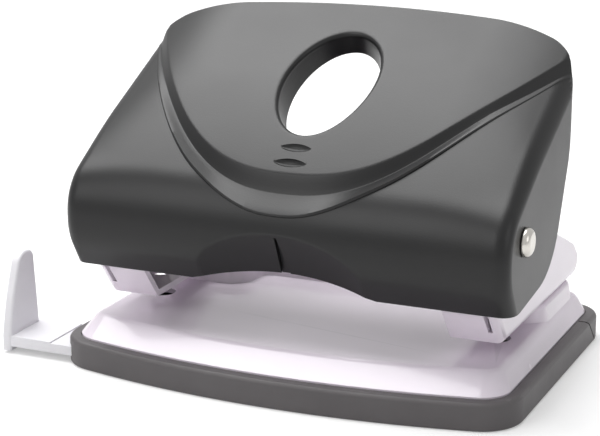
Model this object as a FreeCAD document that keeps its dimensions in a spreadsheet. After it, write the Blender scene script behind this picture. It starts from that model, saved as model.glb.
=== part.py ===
import FreeCAD, Part
import math
import os
import Sketcher

# A manual two-hole desk punch. X runs along the punch, the front faces -Y and Z is up.
# The origin is the centre of the tray's footprint on the table.

Vector = FreeCAD.Vector

# Driving sizes in millimetres: heights are above the table and depths are along Y.
SIZE_TABLE = {
    # Everything that a cut runs past its solid
    "overrun": 2.0,
    # Gap between pieces that are fixed to each other but made apart
    "seat_gap": 0.03,
    # Gap round a shaft that turns or slides
    "running_gap": 0.05,
    # Gap between the plastic tray and what it goes round
    "loose_gap": 0.2,
    # Moulded chip tray
    "tray_length": 104.0,
    "tray_depth": 77.0,
    "tray_height": 6.1,
    "tray_front_bow": 200.0,
    "tray_front_corner": 9.5,
    "tray_rear_corner": 8.0,
    "tray_rim": 2.5,
    "tray_seat": 1.6,
    "tray_seat_height": 4.2,
    "tray_floor": 1.4,
    "tray_lip_round": 1.0,
    "tray_sole_round": 0.6,
    "slit_top": 24.8,
    "slit_bottom": 31.0,
    "slit_width": 0.5,
    "guide_rail": 1.6,
    # Pull-out paper guide
    "guide_front": -30.5,
    "guide_width": 14.0,
    "guide_bottom": 1.6,
    "guide_thickness": 2.4,
    "guide_inner_reach": 37.0,
    "guide_outer_reach": 65.0,
    "guide_step": 10.0,
    "guide_step_depth": 0.3,
    "fin_thickness": 2.3,
    "fin_height": 21.6,
    "fin_foot": 0.6,
    "fin_side": 0.3,
    "fin_flank_round": 40.0,
    "fin_front_round": 3.6,
    "fin_rear_round": 2.2,
    "fin_edge_round": 0.7,
    "hook_length": 3.0,
    "hook_rise": 0.9,
    "hook_side": 4.8,
    # Pressed base plate
    "sheet": 1.2,
    "skirt_height": 6.4,
    "deck_height": 10.4,
    "deck_side_inset": 5.2,
    "deck_front_inset": 8.0,
    "deck_rear_inset": 4.6,
    "deck_round": 2.6,
    "plateau_height": 13.9,
    "plateau_front": 6.6,
    "plateau_reach": 45.9,
    "plateau_rear": 32.3,
    "plateau_notch": 25.0,
    "plateau_bridge": 17.0,
    "plateau_draft": 0.9,
    "plateau_outer_round": 4.5,
    "plateau_inner_round": 6.0,
    "plateau_notch_round": 3.0,
    "plateau_edge_round": 1.0,
    # Folded punch brackets
    "bracket_sheet": 1.4,
    "bracket_inner": 34.1,
    "bracket_outer": 46.0,
    "bracket_front": -18.6,
    "bracket_rear": 32.1,
    "flange_top_depth": -24.5,
    "flange_top_height": 21.3,
    "ear_front": 2.5,
    "wall_front_height": 22.9,
    "tail_depth": 35.2,
    "tail_low": 16.9,
    "tail_high": 18.6,
    "shoulder_depth": 18.9,
    "shoulder_height": 27.4,
    "haunch_depth": 31.6,
    "haunch_height": 22.0,
    "ear_radius": 5.5,
    "ear_back": 6.1,
    "haunch_round": 5.0,
    "shoulder_round": 12.0,
    "tail_round": 1.2,
    "bracket_bend": 1.9,
    "slot_inner": 43.0,
    "slot_width": 1.0,
    "slot_foot": 1.5,
    "upper_web_reach": 7.0,
    "upper_web_inner": 35.0,
    # Rivets that hold the brackets down
    "rivet_radius": 1.6,
    "rivet_head_radius": 2.7,
    "rivet_head": 0.9,
    "rivet_front": 14.0,
    "rivet_rear": 26.0,
    # Punch pins, their springs, washers and clips
    "hole_spacing": 80.0,
    "punch_depth": -5.4,
    "punch_radius": 2.75,
    "punch_tip_lift": 0.5,
    "punch_notch": 1.6,
    "notch_radius": 3.2,
    "punch_crown": 0.7,
    "die_gap": 0.25,
    "wire_radius": 0.3,
    "spring_radius": 3.45,
    "spring_top": 25.2,
    "washer_thickness": 0.6,
    "washer_radius": 4.2,
    "clip_thickness": 0.8,
    "clip_radius": 3.9,
    "clip_mouth": 2.4,
    "clip_groove": 0.45,
    # Pivot of the lever
    "pivot_depth": -20.7,
    "pivot_height": 36.7,
    "pivot_radius": 2.0,
    "pivot_head_radius": 3.1,
    "pivot_head": 1.6,
    "pivot_inner": 41.9,
    "retainer_thickness": 0.7,
    "retainer_radius": 3.6,
    # Steel plate that presses on the pins
    "plate_sheet": 1.6,
    "plate_front_reach": 6.6,
    "plate_rear_reach": 3.4,
    "ear_sheet": 1.1,
    "plate_ear_gap": 0.4,
    "plate_ear_radius": 3.4,
    "pad_radius": 1.5,
    "pad_inner": 36.5,
    "plate_edge_round": 3.0,
    "screw_reach": 25.0,
    "screw_radius": 1.3,
    "screw_head_radius": 2.6,
    "screw_head": 1.4,
    "screw_length": 8.0,
    # Moulded lever cover: its depths and heights are from the pivot
    "cover_reach": 50.0,
    "cover_wall": 2.0,
    "cover_skin": 2.7,
    "cover_lip_depth": -6.6,
    "cover_lip_height": -14.3,
    "cover_nose": -10.9,
    "chin_height": -7.2,
    "brow_height": 4.3,
    "crown_depth": 6.6,
    "crown_height": 19.0,
    "cover_rear": 45.7,
    "cover_rear_top": 38.3,
    "cover_rear_foot": 25.1,
    "cover_heel_depth": 34.9,
    "cover_heel_height": 24.4,
    "flank_depth": 30.9,
    "flank_height": 11.3,
    "hip_depth": 20.6,
    "hip_height": -11.8,
    "toe_depth": -1.9,
    "chin_round": 14.0,
    "brow_round": 16.0,
    "crown_round": 125.0,
    "flank_round": 90.0,
    "hip_round": 16.0,
    "cover_edge_round": 3.0,
    "cover_rear_corner": 7.0,
    "cover_rear_side": 37.5,
    "cover_rear_apex": 44.8,
    "cover_rear_bow": 270.0,
    "boss_radius": 3.2,
    # Fall of the cover's top towards its sides
    "camber_flat": 37.0,
    "camber_fall": 4.9,
    "camber_round": 50.0,
    # Raised panel of the cover and the groove that borders it
    "panel_front": -6.8,
    "panel_front_height": 8.6,
    "panel_crown_depth": 7.7,
    "panel_crown_height": 20.4,
    "panel_rear_height": 39.8,
    "panel_root": 6.0,
    "panel_reach": 47.0,
    "wall_top_depth": -4.8,
    "wall_sweep": 35.0,
    "wall_lean": 2.3,
    "ledge_front": -9.3,
    "ledge_sweep": 31.9,
    "ledge_sink": 1.5,
    "groove_clear": 4.0,
    # Oval finger hole with its collar
    "oval_depth": 19.5,
    "oval_height": 25.9,
    "oval_half_width": 10.3,
    "oval_half_length": 17.0,
    "oval_bevel": 0.9,
    "oval_wall": 1.8,
    "oval_collar": 6.6,
    # Lower front of the cover: raised arch, scoop and middle groove
    "arch_reach": 21.0,
    "arch_rise": 2.9,
    "arch_radius": 77.5,
    "scoop_radius": 55.0,
    "scoop_top": -1.3,
    "scoop_sink": 4.2,
    "seam_width": 1.2,
    "seam_depth": 0.8,
    "dimple_width": 8.4,
    "dimple_girth": 1.6,
    "dimple_round": 5.0,
    "upper_dimple": 0.2,
    "upper_dimple_height": 14.7,
    "lower_dimple": -2.9,
    "lower_dimple_height": 12.1,
}

# Growth of the panel's edge and of the ledge's edge along X, as powers of the reach share
WALL_SWEEP_POWER = 2.3
LEDGE_SWEEP_POWER = 2.93
SINK_FADE_POWER = 4.0
# Places of the groove's sections along X, as shares of the panel's reach
GROOVE_SHARES = (-1.12, -1.0, -0.85, -0.68, -0.5, -0.25, 0.0, 0.25, 0.5, 0.68, 0.85, 1.0, 1.12)
OVAL_SLOPE = 31.0
SPRING_TURNS = 4.5
ARCS_PER_TURN = 4

doc = FreeCAD.newDocument("DeskPunch")
sheet = doc.addObject("Spreadsheet::Sheet", "Sizes")
for row, (alias, amount) in enumerate(SIZE_TABLE.items(), start=1):
    sheet.set("A" + str(row), alias.replace("_", " "))
    sheet.set("B" + str(row), str(amount))
    sheet.setAlias("B" + str(row), alias)
doc.recompute()


class Size:
    """A length together with the formula that the document keeps for it."""

    def __init__(self, value, text):
        self.value = value
        self.text = text

    def __add__(self, other):
        return Size(self.value + other.value, "(" + self.text + " + " + other.text + ")")

    def __sub__(self, other):
        return Size(self.value - other.value, "(" + self.text + " - " + other.text + ")")

    def __mul__(self, share):
        return Size(self.value * share, "(" + self.text + " * " + str(share) + ")")

    def __truediv__(self, count):
        return Size(self.value / count, "(" + self.text + " / " + str(count) + ")")

    def __neg__(self):
        return self * -1


class Sizes:
    """Looks up each alias of the sheet as a Size."""

    def __getattr__(self, alias):
        return Size(float(getattr(sheet, alias)), "Sizes." + alias)


S = Sizes()
ZERO = Size(0.0, "0")


def add(kind, name):
    return doc.addObject(kind, name)


def bind(thing, prop, size):
    thing.setExpression(prop, size.text)


def body(name):
    made = add("PartDesign::Body", name)
    made.Label = name
    return made


def sketch_on(owner, name, role, lift=None):
    """A sketch on one of the body's origin planes, lifted along the plane's normal."""
    sketch = owner.newObject("Sketcher::SketchObject", name)
    plane = [item for item in owner.Origin.OriginFeatures if item.Role == role][0]
    sketch.AttachmentSupport = [(plane, "")]
    sketch.MapMode = "FlatFace"
    if lift is not None:
        bind(sketch, "AttachmentOffset.Base.z", lift)
    return sketch


def free_sketch(name, facing, lift=None):
    """A sketch outside any body, facing along X or Z."""
    sketch = add("Sketcher::SketchObject", name)
    turns = {
        "X": FreeCAD.Rotation(Vector(1, 1, 1), 120),
        "Z": FreeCAD.Rotation(),
    }
    sketch.Placement = FreeCAD.Placement(Vector(), turns[facing])
    if lift is not None:
        bind(sketch, "Placement.Base." + facing.lower(), lift)
    return sketch


def fix_point(sketch, item, end, u, v):
    """Holds one point of a sketch at the formulas u and v."""
    for kind, size in (("DistanceX", u), ("DistanceY", v)):
        index = sketch.addConstraint(Sketcher.Constraint(kind, -1, 1, item, end, size.value))
        sketch.setExpression("Constraints[%d]" % index, size.text)


def fix_radius(sketch, item, radius):
    index = sketch.addConstraint(Sketcher.Constraint("Radius", item, radius.value))
    sketch.setExpression("Constraints[%d]" % index, radius.text)


def circle(sketch, u, v, radius):
    centre = Vector(u.value, v.value, 0)
    item = sketch.addGeometry(Part.Circle(centre, Vector(0, 0, 1), radius.value), False)
    fix_point(sketch, item, 3, u, v)
    fix_radius(sketch, item, radius)


def outline(sketch, corners):
    """A closed outline through corners (u, v) or (u, v, radius of a tangent arc)."""
    count = len(corners)
    spots = [Vector(corner[0].value, corner[1].value, 0) for corner in corners]
    entries = []
    exits = []
    arcs = []
    for index, corner in enumerate(corners):
        spot = spots[index]
        if len(corner) == 2:
            entries.append(spot)
            exits.append(spot)
            arcs.append(None)
            continue
        into = (spot - spots[index - 1]).normalize()
        away = (spots[(index + 1) % count] - spot).normalize()
        side = 1 if into.cross(away).z > 0 else -1
        radius = corner[2].value
        reach = radius * math.tan(into.getAngle(away) / 2)
        entries.append(spot - into * reach)
        exits.append(spot + away * reach)
        normal = Vector(-into.y * side, into.x * side, 0)
        arcs.append((entries[-1] + normal * radius, radius, side))
    lines = []
    for index in range(count):
        line = Part.LineSegment(exits[index], entries[(index + 1) % count])
        lines.append(sketch.addGeometry(line, False))
    for index, corner in enumerate(corners):
        before = lines[index - 1]
        after = lines[index]
        if arcs[index] is None:
            sketch.addConstraint(Sketcher.Constraint("Coincident", before, 2, after, 1))
            fix_point(sketch, after, 1, corner[0], corner[1])
            continue
        centre, radius, side = arcs[index]
        ends = (entries[index], exits[index]) if side > 0 else (exits[index], entries[index])
        angles = [math.atan2(end.y - centre.y, end.x - centre.x) for end in ends]
        rim = Part.Circle(centre, Vector(0, 0, 1), radius)
        arc = sketch.addGeometry(Part.ArcOfCircle(rim, angles[0], angles[1]), False)
        first, last = (1, 2) if side > 0 else (2, 1)
        sketch.addConstraint(Sketcher.Constraint("Tangent", before, 2, arc, first))
        sketch.addConstraint(Sketcher.Constraint("Tangent", arc, last, after, 1))
        fix_radius(sketch, arc, corner[2])
        spot = sketch.addGeometry(Part.Point(spots[index]), True)
        fix_point(sketch, spot, 1, corner[0], corner[1])
        sketch.addConstraint(Sketcher.Constraint("PointOnObject", spot, 1, before))
        sketch.addConstraint(Sketcher.Constraint("PointOnObject", spot, 1, after))


def rectangle(sketch, left, right, low, high):
    outline(sketch, [(left, low), (right, low), (right, high), (left, high)])


def sweep_feature(owner, kind, name, sketch, length, centred=False, backwards=False):
    """A pad or pocket of one sketch."""
    feature = owner.newObject("PartDesign::" + kind, name)
    feature.Profile = sketch
    bind(feature, "Length", length)
    feature.Reversed = backwards
    if centred:
        feature.SideType = "Symmetric"
    doc.recompute()
    return feature


def pad(owner, name, sketch, length, centred=False, backwards=False):
    return sweep_feature(owner, "Pad", name, sketch, length, centred, backwards)


def pocket(owner, name, sketch, length, centred=False, backwards=False):
    """A pocket that is sure to have removed something."""
    before = owner.Tip.Shape.Volume
    made = sweep_feature(owner, "Pocket", name, sketch, length, centred, backwards)
    if made.Shape.Volume >= before:
        raise RuntimeError(name + " cuts nothing")
    return made


def loft(owner, kind, name, sections):
    feature = owner.newObject("PartDesign::" + kind, name)
    feature.Profile = sections[0]
    feature.Sections = sections[1:]
    feature.Ruled = True
    doc.recompute()
    return feature


def edges_where(shape, wanted):
    """Names of the edges whose middle point passes the test."""
    names = []
    for number, edge in enumerate(shape.Edges, start=1):
        middle = edge.valueAt((edge.FirstParameter + edge.LastParameter) / 2)
        if wanted(edge, middle):
            names.append("Edge%d" % number)
    return names


def fillet(owner, name, wanted, radius, kind="Fillet", prop="Radius"):
    base = owner.Tip
    names = edges_where(base.Shape, wanted)
    if not names:
        raise RuntimeError(name + " finds no edge")
    feature = owner.newObject("PartDesign::" + kind, name)
    feature.Base = (base, names)
    bind(feature, prop, radius)
    doc.recompute()
    return feature


def near(first, second):
    return abs(first - second) < 1e-4


def level_edge(edge, height):
    """True for an edge that lies wholly at one height."""
    box = edge.BoundBox
    return near(box.ZMin, height) and near(box.ZMax, height)


def extrude(name, base, length, along, centred=False):
    made = add("Part::Extrusion", name)
    made.Base = base
    made.DirMode = "Custom"
    made.Dir = along
    made.Solid = True
    made.Symmetric = centred
    bind(made, "LengthFwd", length)
    return made


def boolean(kind, name, first, second):
    made = add("Part::" + kind, name)
    made.Base = first
    made.Tool = second
    return made


def fuse(name, pieces):
    made = add("Part::MultiFuse", name)
    made.Shapes = pieces
    return made


def cylinder(name, x, y, z, radius, length, axis=Vector(0, 0, 1)):
    made = add("Part::Cylinder", name)
    made.Placement = FreeCAD.Placement(Vector(), FreeCAD.Rotation(Vector(0, 0, 1), axis))
    bind(made, "Placement.Base.x", x)
    bind(made, "Placement.Base.y", y)
    bind(made, "Placement.Base.z", z)
    bind(made, "Radius", radius)
    bind(made, "Height", length)
    return made


# Outline shared by the tray's rims and the base plate's skirt
def rim(sketch, side_inset, front_inset, rear_inset):
    """The tray's footprint, drawn in by an amount at the sides, the front and the rear."""
    reach = S.tray_length / 2 - side_inset
    front = -(S.tray_depth / 2) + front_inset
    rear = S.tray_depth / 2 - rear_inset
    bow = S.tray_front_bow - front_inset
    front_corner = S.tray_front_corner - side_inset
    rear_corner = S.tray_rear_corner - side_inset
    bow_centre = front + bow
    corner_x = reach.value - front_corner.value
    drop = math.sqrt((bow.value - front_corner.value) ** 2 - corner_x ** 2)
    corner_y = bow_centre.value - drop
    lean = math.asin(corner_x / (bow.value - front_corner.value))
    up = Vector(0, 0, 1)
    right = math.pi * 1.5 + lean
    left = math.pi * 1.5 - lean
    rear_y = rear.value - rear_corner.value
    rear_x = reach.value - rear_corner.value

    def arc(x, y, radius, start, end):
        return Part.ArcOfCircle(Part.Circle(Vector(x, y, 0), up, radius), start, end)

    pieces = [
        arc(0, bow_centre.value, bow.value, left, right),
        arc(corner_x, corner_y, front_corner.value, right, math.pi * 2),
        Part.LineSegment(Vector(reach.value, corner_y, 0), Vector(reach.value, rear_y, 0)),
        arc(rear_x, rear_y, rear_corner.value, 0, math.pi / 2),
        Part.LineSegment(Vector(rear_x, rear.value, 0), Vector(-rear_x, rear.value, 0)),
        arc(-rear_x, rear_y, rear_corner.value, math.pi / 2, math.pi),
        Part.LineSegment(Vector(-reach.value, rear_y, 0), Vector(-reach.value, corner_y, 0)),
        arc(-corner_x, corner_y, front_corner.value, math.pi, left),
    ]
    items = [sketch.addGeometry(piece, False) for piece in pieces]
    for index, item in enumerate(items):
        after = items[(index + 1) % len(items)]
        sketch.addConstraint(Sketcher.Constraint("Tangent", item, 2, after, 1))
    for index, radius in ((0, bow), (1, front_corner), (3, rear_corner), (5, rear_corner), (7, front_corner)):
        fix_radius(sketch, items[index], radius)
    fix_point(sketch, items[0], 3, ZERO, bow_centre)
    sketch.addConstraint(Sketcher.Constraint("Vertical", items[2]))
    sketch.addConstraint(Sketcher.Constraint("Horizontal", items[4]))
    sketch.addConstraint(Sketcher.Constraint("Vertical", items[6]))
    for index, kind, size in ((2, "DistanceX", reach), (6, "DistanceX", -reach), (4, "DistanceY", rear)):
        number = sketch.addConstraint(Sketcher.Constraint(kind, -1, 1, items[index], 1, size.value))
        sketch.setExpression("Constraints[%d]" % number, size.text)


# Chip tray and its heel
# One moulding: the slit through its rim and floor leaves the heel fixed behind the hinge.
bin_inset = S.tray_rim + S.tray_seat


def tray_piece(name, front_side):
    piece = body(name)
    foot = sketch_on(piece, name + "_footprint", "XY_Plane")
    rim(foot, ZERO, ZERO, ZERO)
    pad(piece, name + "_block", foot, S.tray_height)
    height = S.tray_height.value
    fillet(piece, name + "_lip", lambda edge, middle: level_edge(edge, height), S.tray_lip_round)
    fillet(piece, name + "_sole", lambda edge, middle: level_edge(edge, 0), S.tray_sole_round)
    recess = sketch_on(piece, name + "_recess", "XY_Plane", S.tray_seat_height)
    rim(recess, S.tray_rim, S.tray_rim, S.tray_rim)
    pocket(piece, name + "_recess_cut", recess, S.tray_height, backwards=True)
    chips = sketch_on(piece, name + "_bin", "XY_Plane", S.tray_floor)
    rim(chips, bin_inset, bin_inset, bin_inset)
    pocket(piece, name + "_bin_cut", chips, S.tray_height, backwards=True)
    slit = sketch_on(piece, name + "_slit", "YZ_Plane")
    half = S.slit_width / 2 if front_side else -(S.slit_width / 2)
    far = -S.tray_depth if not front_side else S.tray_depth
    rise = S.tray_height + S.overrun
    # The slit leans back towards its foot, and runs on at the same lean past both faces.
    lean = (S.slit_top - S.slit_bottom) * (S.overrun.value / S.tray_height.value)
    top = S.slit_top + lean - half
    low = S.slit_bottom - lean - half
    outline(slit, [(low, -S.overrun), (far, -S.overrun), (far, rise), (top, rise)])
    pocket(piece, name + "_slit_cut", slit, S.tray_length * 2, centred=True)
    return piece


chip_tray = tray_piece("chip_tray", True)
tray_heel = tray_piece("tray_heel", False)

# Channel that the guide slides in, open through the tray's left end, and its two rails
guide_rear = S.guide_front + S.guide_width
guide_top = S.guide_bottom + S.guide_thickness
channel_front = S.guide_front - S.loose_gap
channel_rear = guide_rear + S.loose_gap
channel = sketch_on(chip_tray, "guide_channel", "YZ_Plane", -(S.tray_length / 2) - S.overrun)
rectangle(channel, channel_front, channel_rear, S.tray_floor, S.tray_seat_height)
pocket(chip_tray, "guide_channel_cut", channel, S.tray_length + S.overrun - bin_inset, backwards=True)
rails = sketch_on(chip_tray, "guide_rails", "XY_Plane", S.tray_floor - S.seat_gap)
rail_start = -(S.tray_length / 2) + S.tray_rim
rectangle(rails, rail_start, S.guide_inner_reach, channel_rear, channel_rear + S.guide_rail)
rectangle(rails, -S.guide_inner_reach, S.guide_inner_reach, channel_front - S.guide_rail, channel_front)
pad(chip_tray, "guide_rail_pad", rails, S.tray_seat_height - S.tray_floor + S.seat_gap)

# Paper guide
# A flat slide with an upright fin at its outer end and a hook at its inner end.
paper_guide = body("paper_guide")
fin = sketch_on(paper_guide, "fin_side", "YZ_Plane", -S.guide_outer_reach - S.fin_thickness)
# Flank and top corners of the sail, as shares of the fin's width and height
FIN_FLANK_SHARES = (0.14, 0.55)
FIN_FRONT_SHARES = (0.44, 1.03)
FIN_REAR_SHARES = (0.86, 1.0)
fin_front = S.guide_front - S.fin_side
fin_width = S.guide_width - S.fin_side * 4


def fin_corner(shares, radius):
    return (fin_front + fin_width * shares[0], S.fin_height * shares[1], radius)


outline(fin, [
    (fin_front, S.fin_foot),
    (fin_front + fin_width, S.fin_foot),
    fin_corner(FIN_REAR_SHARES, S.fin_rear_round),
    fin_corner(FIN_FRONT_SHARES, S.fin_front_round),
    fin_corner(FIN_FLANK_SHARES, S.fin_flank_round),
    (fin_front, guide_top),
])
pad(paper_guide, "fin", fin, S.fin_thickness)
foot_level = S.fin_foot.value


def fin_edge(edge, middle):
    box = edge.BoundBox
    return near(box.XMin, box.XMax) and middle.z > foot_level + 1e-3


fillet(paper_guide, "fin_edges", fin_edge, S.fin_edge_round)
slide = sketch_on(paper_guide, "slide_plan", "XY_Plane", S.guide_bottom)
rectangle(slide, -S.guide_outer_reach - S.fin_thickness / 2, S.guide_inner_reach, S.guide_front, guide_rear)
pad(paper_guide, "slide_bar", slide, S.guide_thickness)
step = sketch_on(paper_guide, "slide_step", "XY_Plane", guide_top - S.guide_step_depth)
step_end = -S.guide_outer_reach + S.guide_step
rectangle(step, step_end, S.guide_inner_reach + S.overrun, S.guide_front - S.overrun, guide_rear + S.overrun)
pocket(paper_guide, "slide_step_cut", step, S.guide_thickness, backwards=True)
hook = sketch_on(paper_guide, "slide_hook", "XY_Plane", S.guide_bottom)
hook_front = S.guide_front + S.hook_side
hook_rear = guide_rear - S.guide_rail
rectangle(hook, S.guide_inner_reach - S.hook_length, S.guide_inner_reach, hook_front, hook_rear)
pad(paper_guide, "slide_hook_pad", hook, S.guide_thickness + S.hook_rise)

# Base plate
# Pressed sheet: a skirt standing in the tray, sloped sides, a deck and a raised rear plateau.
base_plate = body("base_plate")
skirt_inset = S.tray_rim + S.loose_gap
skirt_foot = S.tray_seat_height + S.loose_gap
skirt = sketch_on(base_plate, "skirt_plan", "XY_Plane", skirt_foot)
rim(skirt, skirt_inset, skirt_inset, skirt_inset)
pad(base_plate, "skirt", skirt, S.skirt_height - skirt_foot)
slope_low = sketch_on(base_plate, "slope_low", "XY_Plane", S.skirt_height)
rim(slope_low, skirt_inset, skirt_inset, skirt_inset)
slope_high = sketch_on(base_plate, "slope_high", "XY_Plane", S.deck_height)
rim(slope_high, S.deck_side_inset, S.deck_front_inset, S.deck_rear_inset)
loft(base_plate, "AdditiveLoft", "slopes", [slope_low, slope_high])
deck_level = S.deck_height.value
fillet(base_plate, "deck_roll", lambda edge, middle: level_edge(edge, deck_level), S.deck_round)


def plateau_outline(sketch, spread):
    """Two pads joined by a bridge at the rear, drawn out by an amount."""
    reach = S.plateau_reach + spread
    front = S.plateau_front - spread
    rear = S.plateau_rear + spread
    notch = S.plateau_notch - spread
    bridge = S.plateau_bridge - spread
    outer = S.plateau_outer_round + spread
    inner = S.plateau_inner_round + spread
    hollow = S.plateau_notch_round - spread
    outline(sketch, [
        (-reach, front, outer),
        (-notch, front, inner),
        (-notch, bridge, hollow),
        (notch, bridge, hollow),
        (notch, front, inner),
        (reach, front, outer),
        (reach, rear, outer),
        (-reach, rear, outer),
    ])


plateau_low = sketch_on(base_plate, "plateau_low", "XY_Plane", S.deck_height - S.sheet)
plateau_outline(plateau_low, S.plateau_draft)
plateau_high = sketch_on(base_plate, "plateau_high", "XY_Plane", S.plateau_height)
plateau_outline(plateau_high, ZERO)
loft(base_plate, "AdditiveLoft", "plateau", [plateau_low, plateau_high])
plateau_level = S.plateau_height.value
fillet(base_plate, "plateau_roll", lambda edge, middle: level_edge(edge, plateau_level), S.plateau_edge_round)
under_low = sketch_on(base_plate, "under_skirt", "XY_Plane", skirt_foot)
under_inset = skirt_inset + S.sheet
rim(under_low, under_inset, under_inset, under_inset)
pocket(base_plate, "skirt_hollow", under_low, S.skirt_height - skirt_foot, backwards=True)
under_slope = sketch_on(base_plate, "under_slope", "XY_Plane", S.skirt_height)
rim(under_slope, under_inset, under_inset, under_inset)
under_deck = sketch_on(base_plate, "under_deck", "XY_Plane", S.deck_height - S.sheet)
rim(under_deck, S.deck_side_inset + S.sheet, S.deck_front_inset + S.sheet, S.deck_rear_inset + S.sheet)
loft(base_plate, "SubtractiveLoft", "slope_hollow", [under_slope, under_deck])
under_pads = sketch_on(base_plate, "under_pads", "XY_Plane", S.deck_height - S.sheet)
plateau_outline(under_pads, S.plateau_draft - S.sheet)
under_tops = sketch_on(base_plate, "under_tops", "XY_Plane", S.plateau_height - S.sheet)
plateau_outline(under_tops, -S.sheet)
loft(base_plate, "SubtractiveLoft", "plateau_hollow", [under_pads, under_tops])
die_holes = sketch_on(base_plate, "die_holes", "XY_Plane", skirt_foot)
rivet_holes = sketch_on(base_plate, "rivet_holes", "XY_Plane", skirt_foot)
for side in (-1, 1):
    punch_x = S.hole_spacing / 2 * side
    circle(die_holes, punch_x, S.punch_depth, S.punch_radius + S.die_gap)
    for depth in (S.rivet_front, S.rivet_rear):
        circle(rivet_holes, punch_x, depth, S.rivet_radius + S.seat_gap)
pocket(base_plate, "die_cut", die_holes, S.plateau_height, backwards=True)
pocket(base_plate, "rivet_cut", rivet_holes, S.plateau_height, backwards=True)


# Heights that the brackets, the punch pins and the press plate share
plate_underside = S.pivot_height
punch_top = plate_underside - S.pad_radius - S.running_gap * 2
punch_tip = S.plateau_height + S.punch_tip_lift
groove_low = S.spring_top + S.washer_thickness
groove_high = groove_low + S.clip_thickness + S.seat_gap * 2


# Punch brackets
# Each is one folded sheet: lower web on the plateau, leaning front flange and tall outer wall.
def bracket(name, side):
    piece = body(name)
    wall_front = S.pivot_depth - S.ear_front
    ear_top = S.pivot_height + S.ear_radius
    inner = S.bracket_inner * side
    width = S.bracket_outer - S.bracket_inner
    turned = side < 0
    base = S.plateau_height
    wall = sketch_on(piece, name + "_side", "YZ_Plane", inner)
    outline(wall, [
        (S.bracket_front, base),
        (S.bracket_rear, base),
        (S.tail_depth, S.tail_low, S.tail_round),
        (S.tail_depth, S.tail_high, S.tail_round),
        (S.haunch_depth, S.haunch_height, S.haunch_round),
        (S.shoulder_depth, S.shoulder_height, S.shoulder_round),
        (S.pivot_depth + S.ear_back, ear_top, S.ear_radius),
        (wall_front, ear_top, S.ear_radius - S.ear_front),
        (wall_front, S.wall_front_height),
        (S.flange_top_depth, S.flange_top_height),
    ])
    pad(piece, name + "_block", wall, width, backwards=turned)
    outer_face = S.bracket_outer.value * side
    flange_height = S.flange_top_height.value

    def outer_bend(edge, middle):
        box = edge.BoundBox
        on_face = near(box.XMin, outer_face) and near(box.XMax, outer_face)
        on_sole = near(box.ZMax, base.value)
        on_flange = middle.y < S.bracket_front.value and box.ZMax < flange_height + 1e-4
        return on_face and (on_sole or on_flange)

    fillet(piece, name + "_bend", outer_bend, S.bracket_bend)
    # The open space over the web and behind the flange, whose lean is kept at one sheet's distance
    lean = (S.flange_top_depth - S.bracket_front).value
    climb = (S.flange_top_height - base).value
    slant = math.hypot(lean, climb) / climb
    room = sketch_on(piece, name + "_room", "YZ_Plane", inner - S.overrun * side)
    web_top = base + S.bracket_sheet
    flange_foot = S.bracket_front + S.bracket_sheet * slant + S.bracket_sheet * (lean / climb)
    room_top = S.pivot_height + S.ear_radius * 2
    rise = (room_top - web_top).value
    outline(room, [
        (flange_foot, web_top),
        (S.tail_depth + S.overrun, web_top),
        (S.tail_depth + S.overrun, room_top),
        (flange_foot + (S.flange_top_depth - S.bracket_front) * (rise / climb), room_top),
    ])
    room_width = width - S.bracket_sheet + S.overrun
    pocket(piece, name + "_room_cut", room, room_width, backwards=not turned)
    # Relief slot between the flange and its corner strip
    slot_plan = sketch_on(piece, name + "_slot", "XZ_Plane", -S.bracket_front - S.bracket_sheet)
    near_x = S.slot_inner * side
    far_x = (S.slot_inner + S.slot_width) * side
    rectangle(slot_plan, near_x, far_x, web_top + S.slot_foot, S.flange_top_height + S.overrun)
    pocket(piece, name + "_slot_cut", slot_plan, S.bracket_sheet * 8, backwards=True)
    # Upper guide web, lanced out of the outer wall
    web = sketch_on(piece, name + "_web", "XY_Plane", groove_high + S.loose_gap * 2)
    wall_inner = (S.bracket_outer - S.bracket_sheet / 2) * side
    web_front = S.punch_depth - S.upper_web_reach
    rectangle(web, S.upper_web_inner * side, wall_inner, web_front, S.punch_depth + S.upper_web_reach)
    pad(piece, name + "_web_pad", web, S.bracket_sheet)
    holes = sketch_on(piece, name + "_holes", "XY_Plane", base - S.overrun)
    punch_x = S.hole_spacing / 2 * side
    circle(holes, punch_x, S.punch_depth, S.punch_radius + S.running_gap)
    pocket(piece, name + "_punch_bore", holes, punch_top, backwards=True)
    rivets = sketch_on(piece, name + "_rivet_holes", "XY_Plane", base - S.overrun)
    for depth in (S.rivet_front, S.rivet_rear):
        circle(rivets, punch_x, depth, S.rivet_radius + S.seat_gap)
    pocket(piece, name + "_rivet_bore", rivets, S.bracket_sheet + S.overrun * 2, backwards=True)
    pivot = sketch_on(piece, name + "_pivot_hole", "YZ_Plane", inner)
    circle(pivot, S.pivot_depth, S.pivot_height, S.pivot_radius + S.seat_gap)
    pocket(piece, name + "_pivot_bore", pivot, width + S.overrun, backwards=not turned)
    return piece


def turned(name, profile):
    """A turned piece about the Z axis, from (radius, height) corners."""
    half = add("Sketcher::SketchObject", name + "_half")
    half.Placement = FreeCAD.Placement(Vector(), FreeCAD.Rotation(Vector(1, 0, 0), 90))
    outline(half, profile)
    made = add("Part::Revolution", name)
    made.Source = half
    made.Axis = Vector(0, 0, 1)
    made.Base = Vector()
    made.Angle = 360
    made.Solid = True
    return made


def place(made, x, y, z=ZERO):
    bind(made, "Placement.Base.x", x)
    bind(made, "Placement.Base.y", y)
    bind(made, "Placement.Base.z", z)
    return made


def compound(name, pieces):
    made = add("Part::Compound", name)
    made.Links = pieces
    return made


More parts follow.
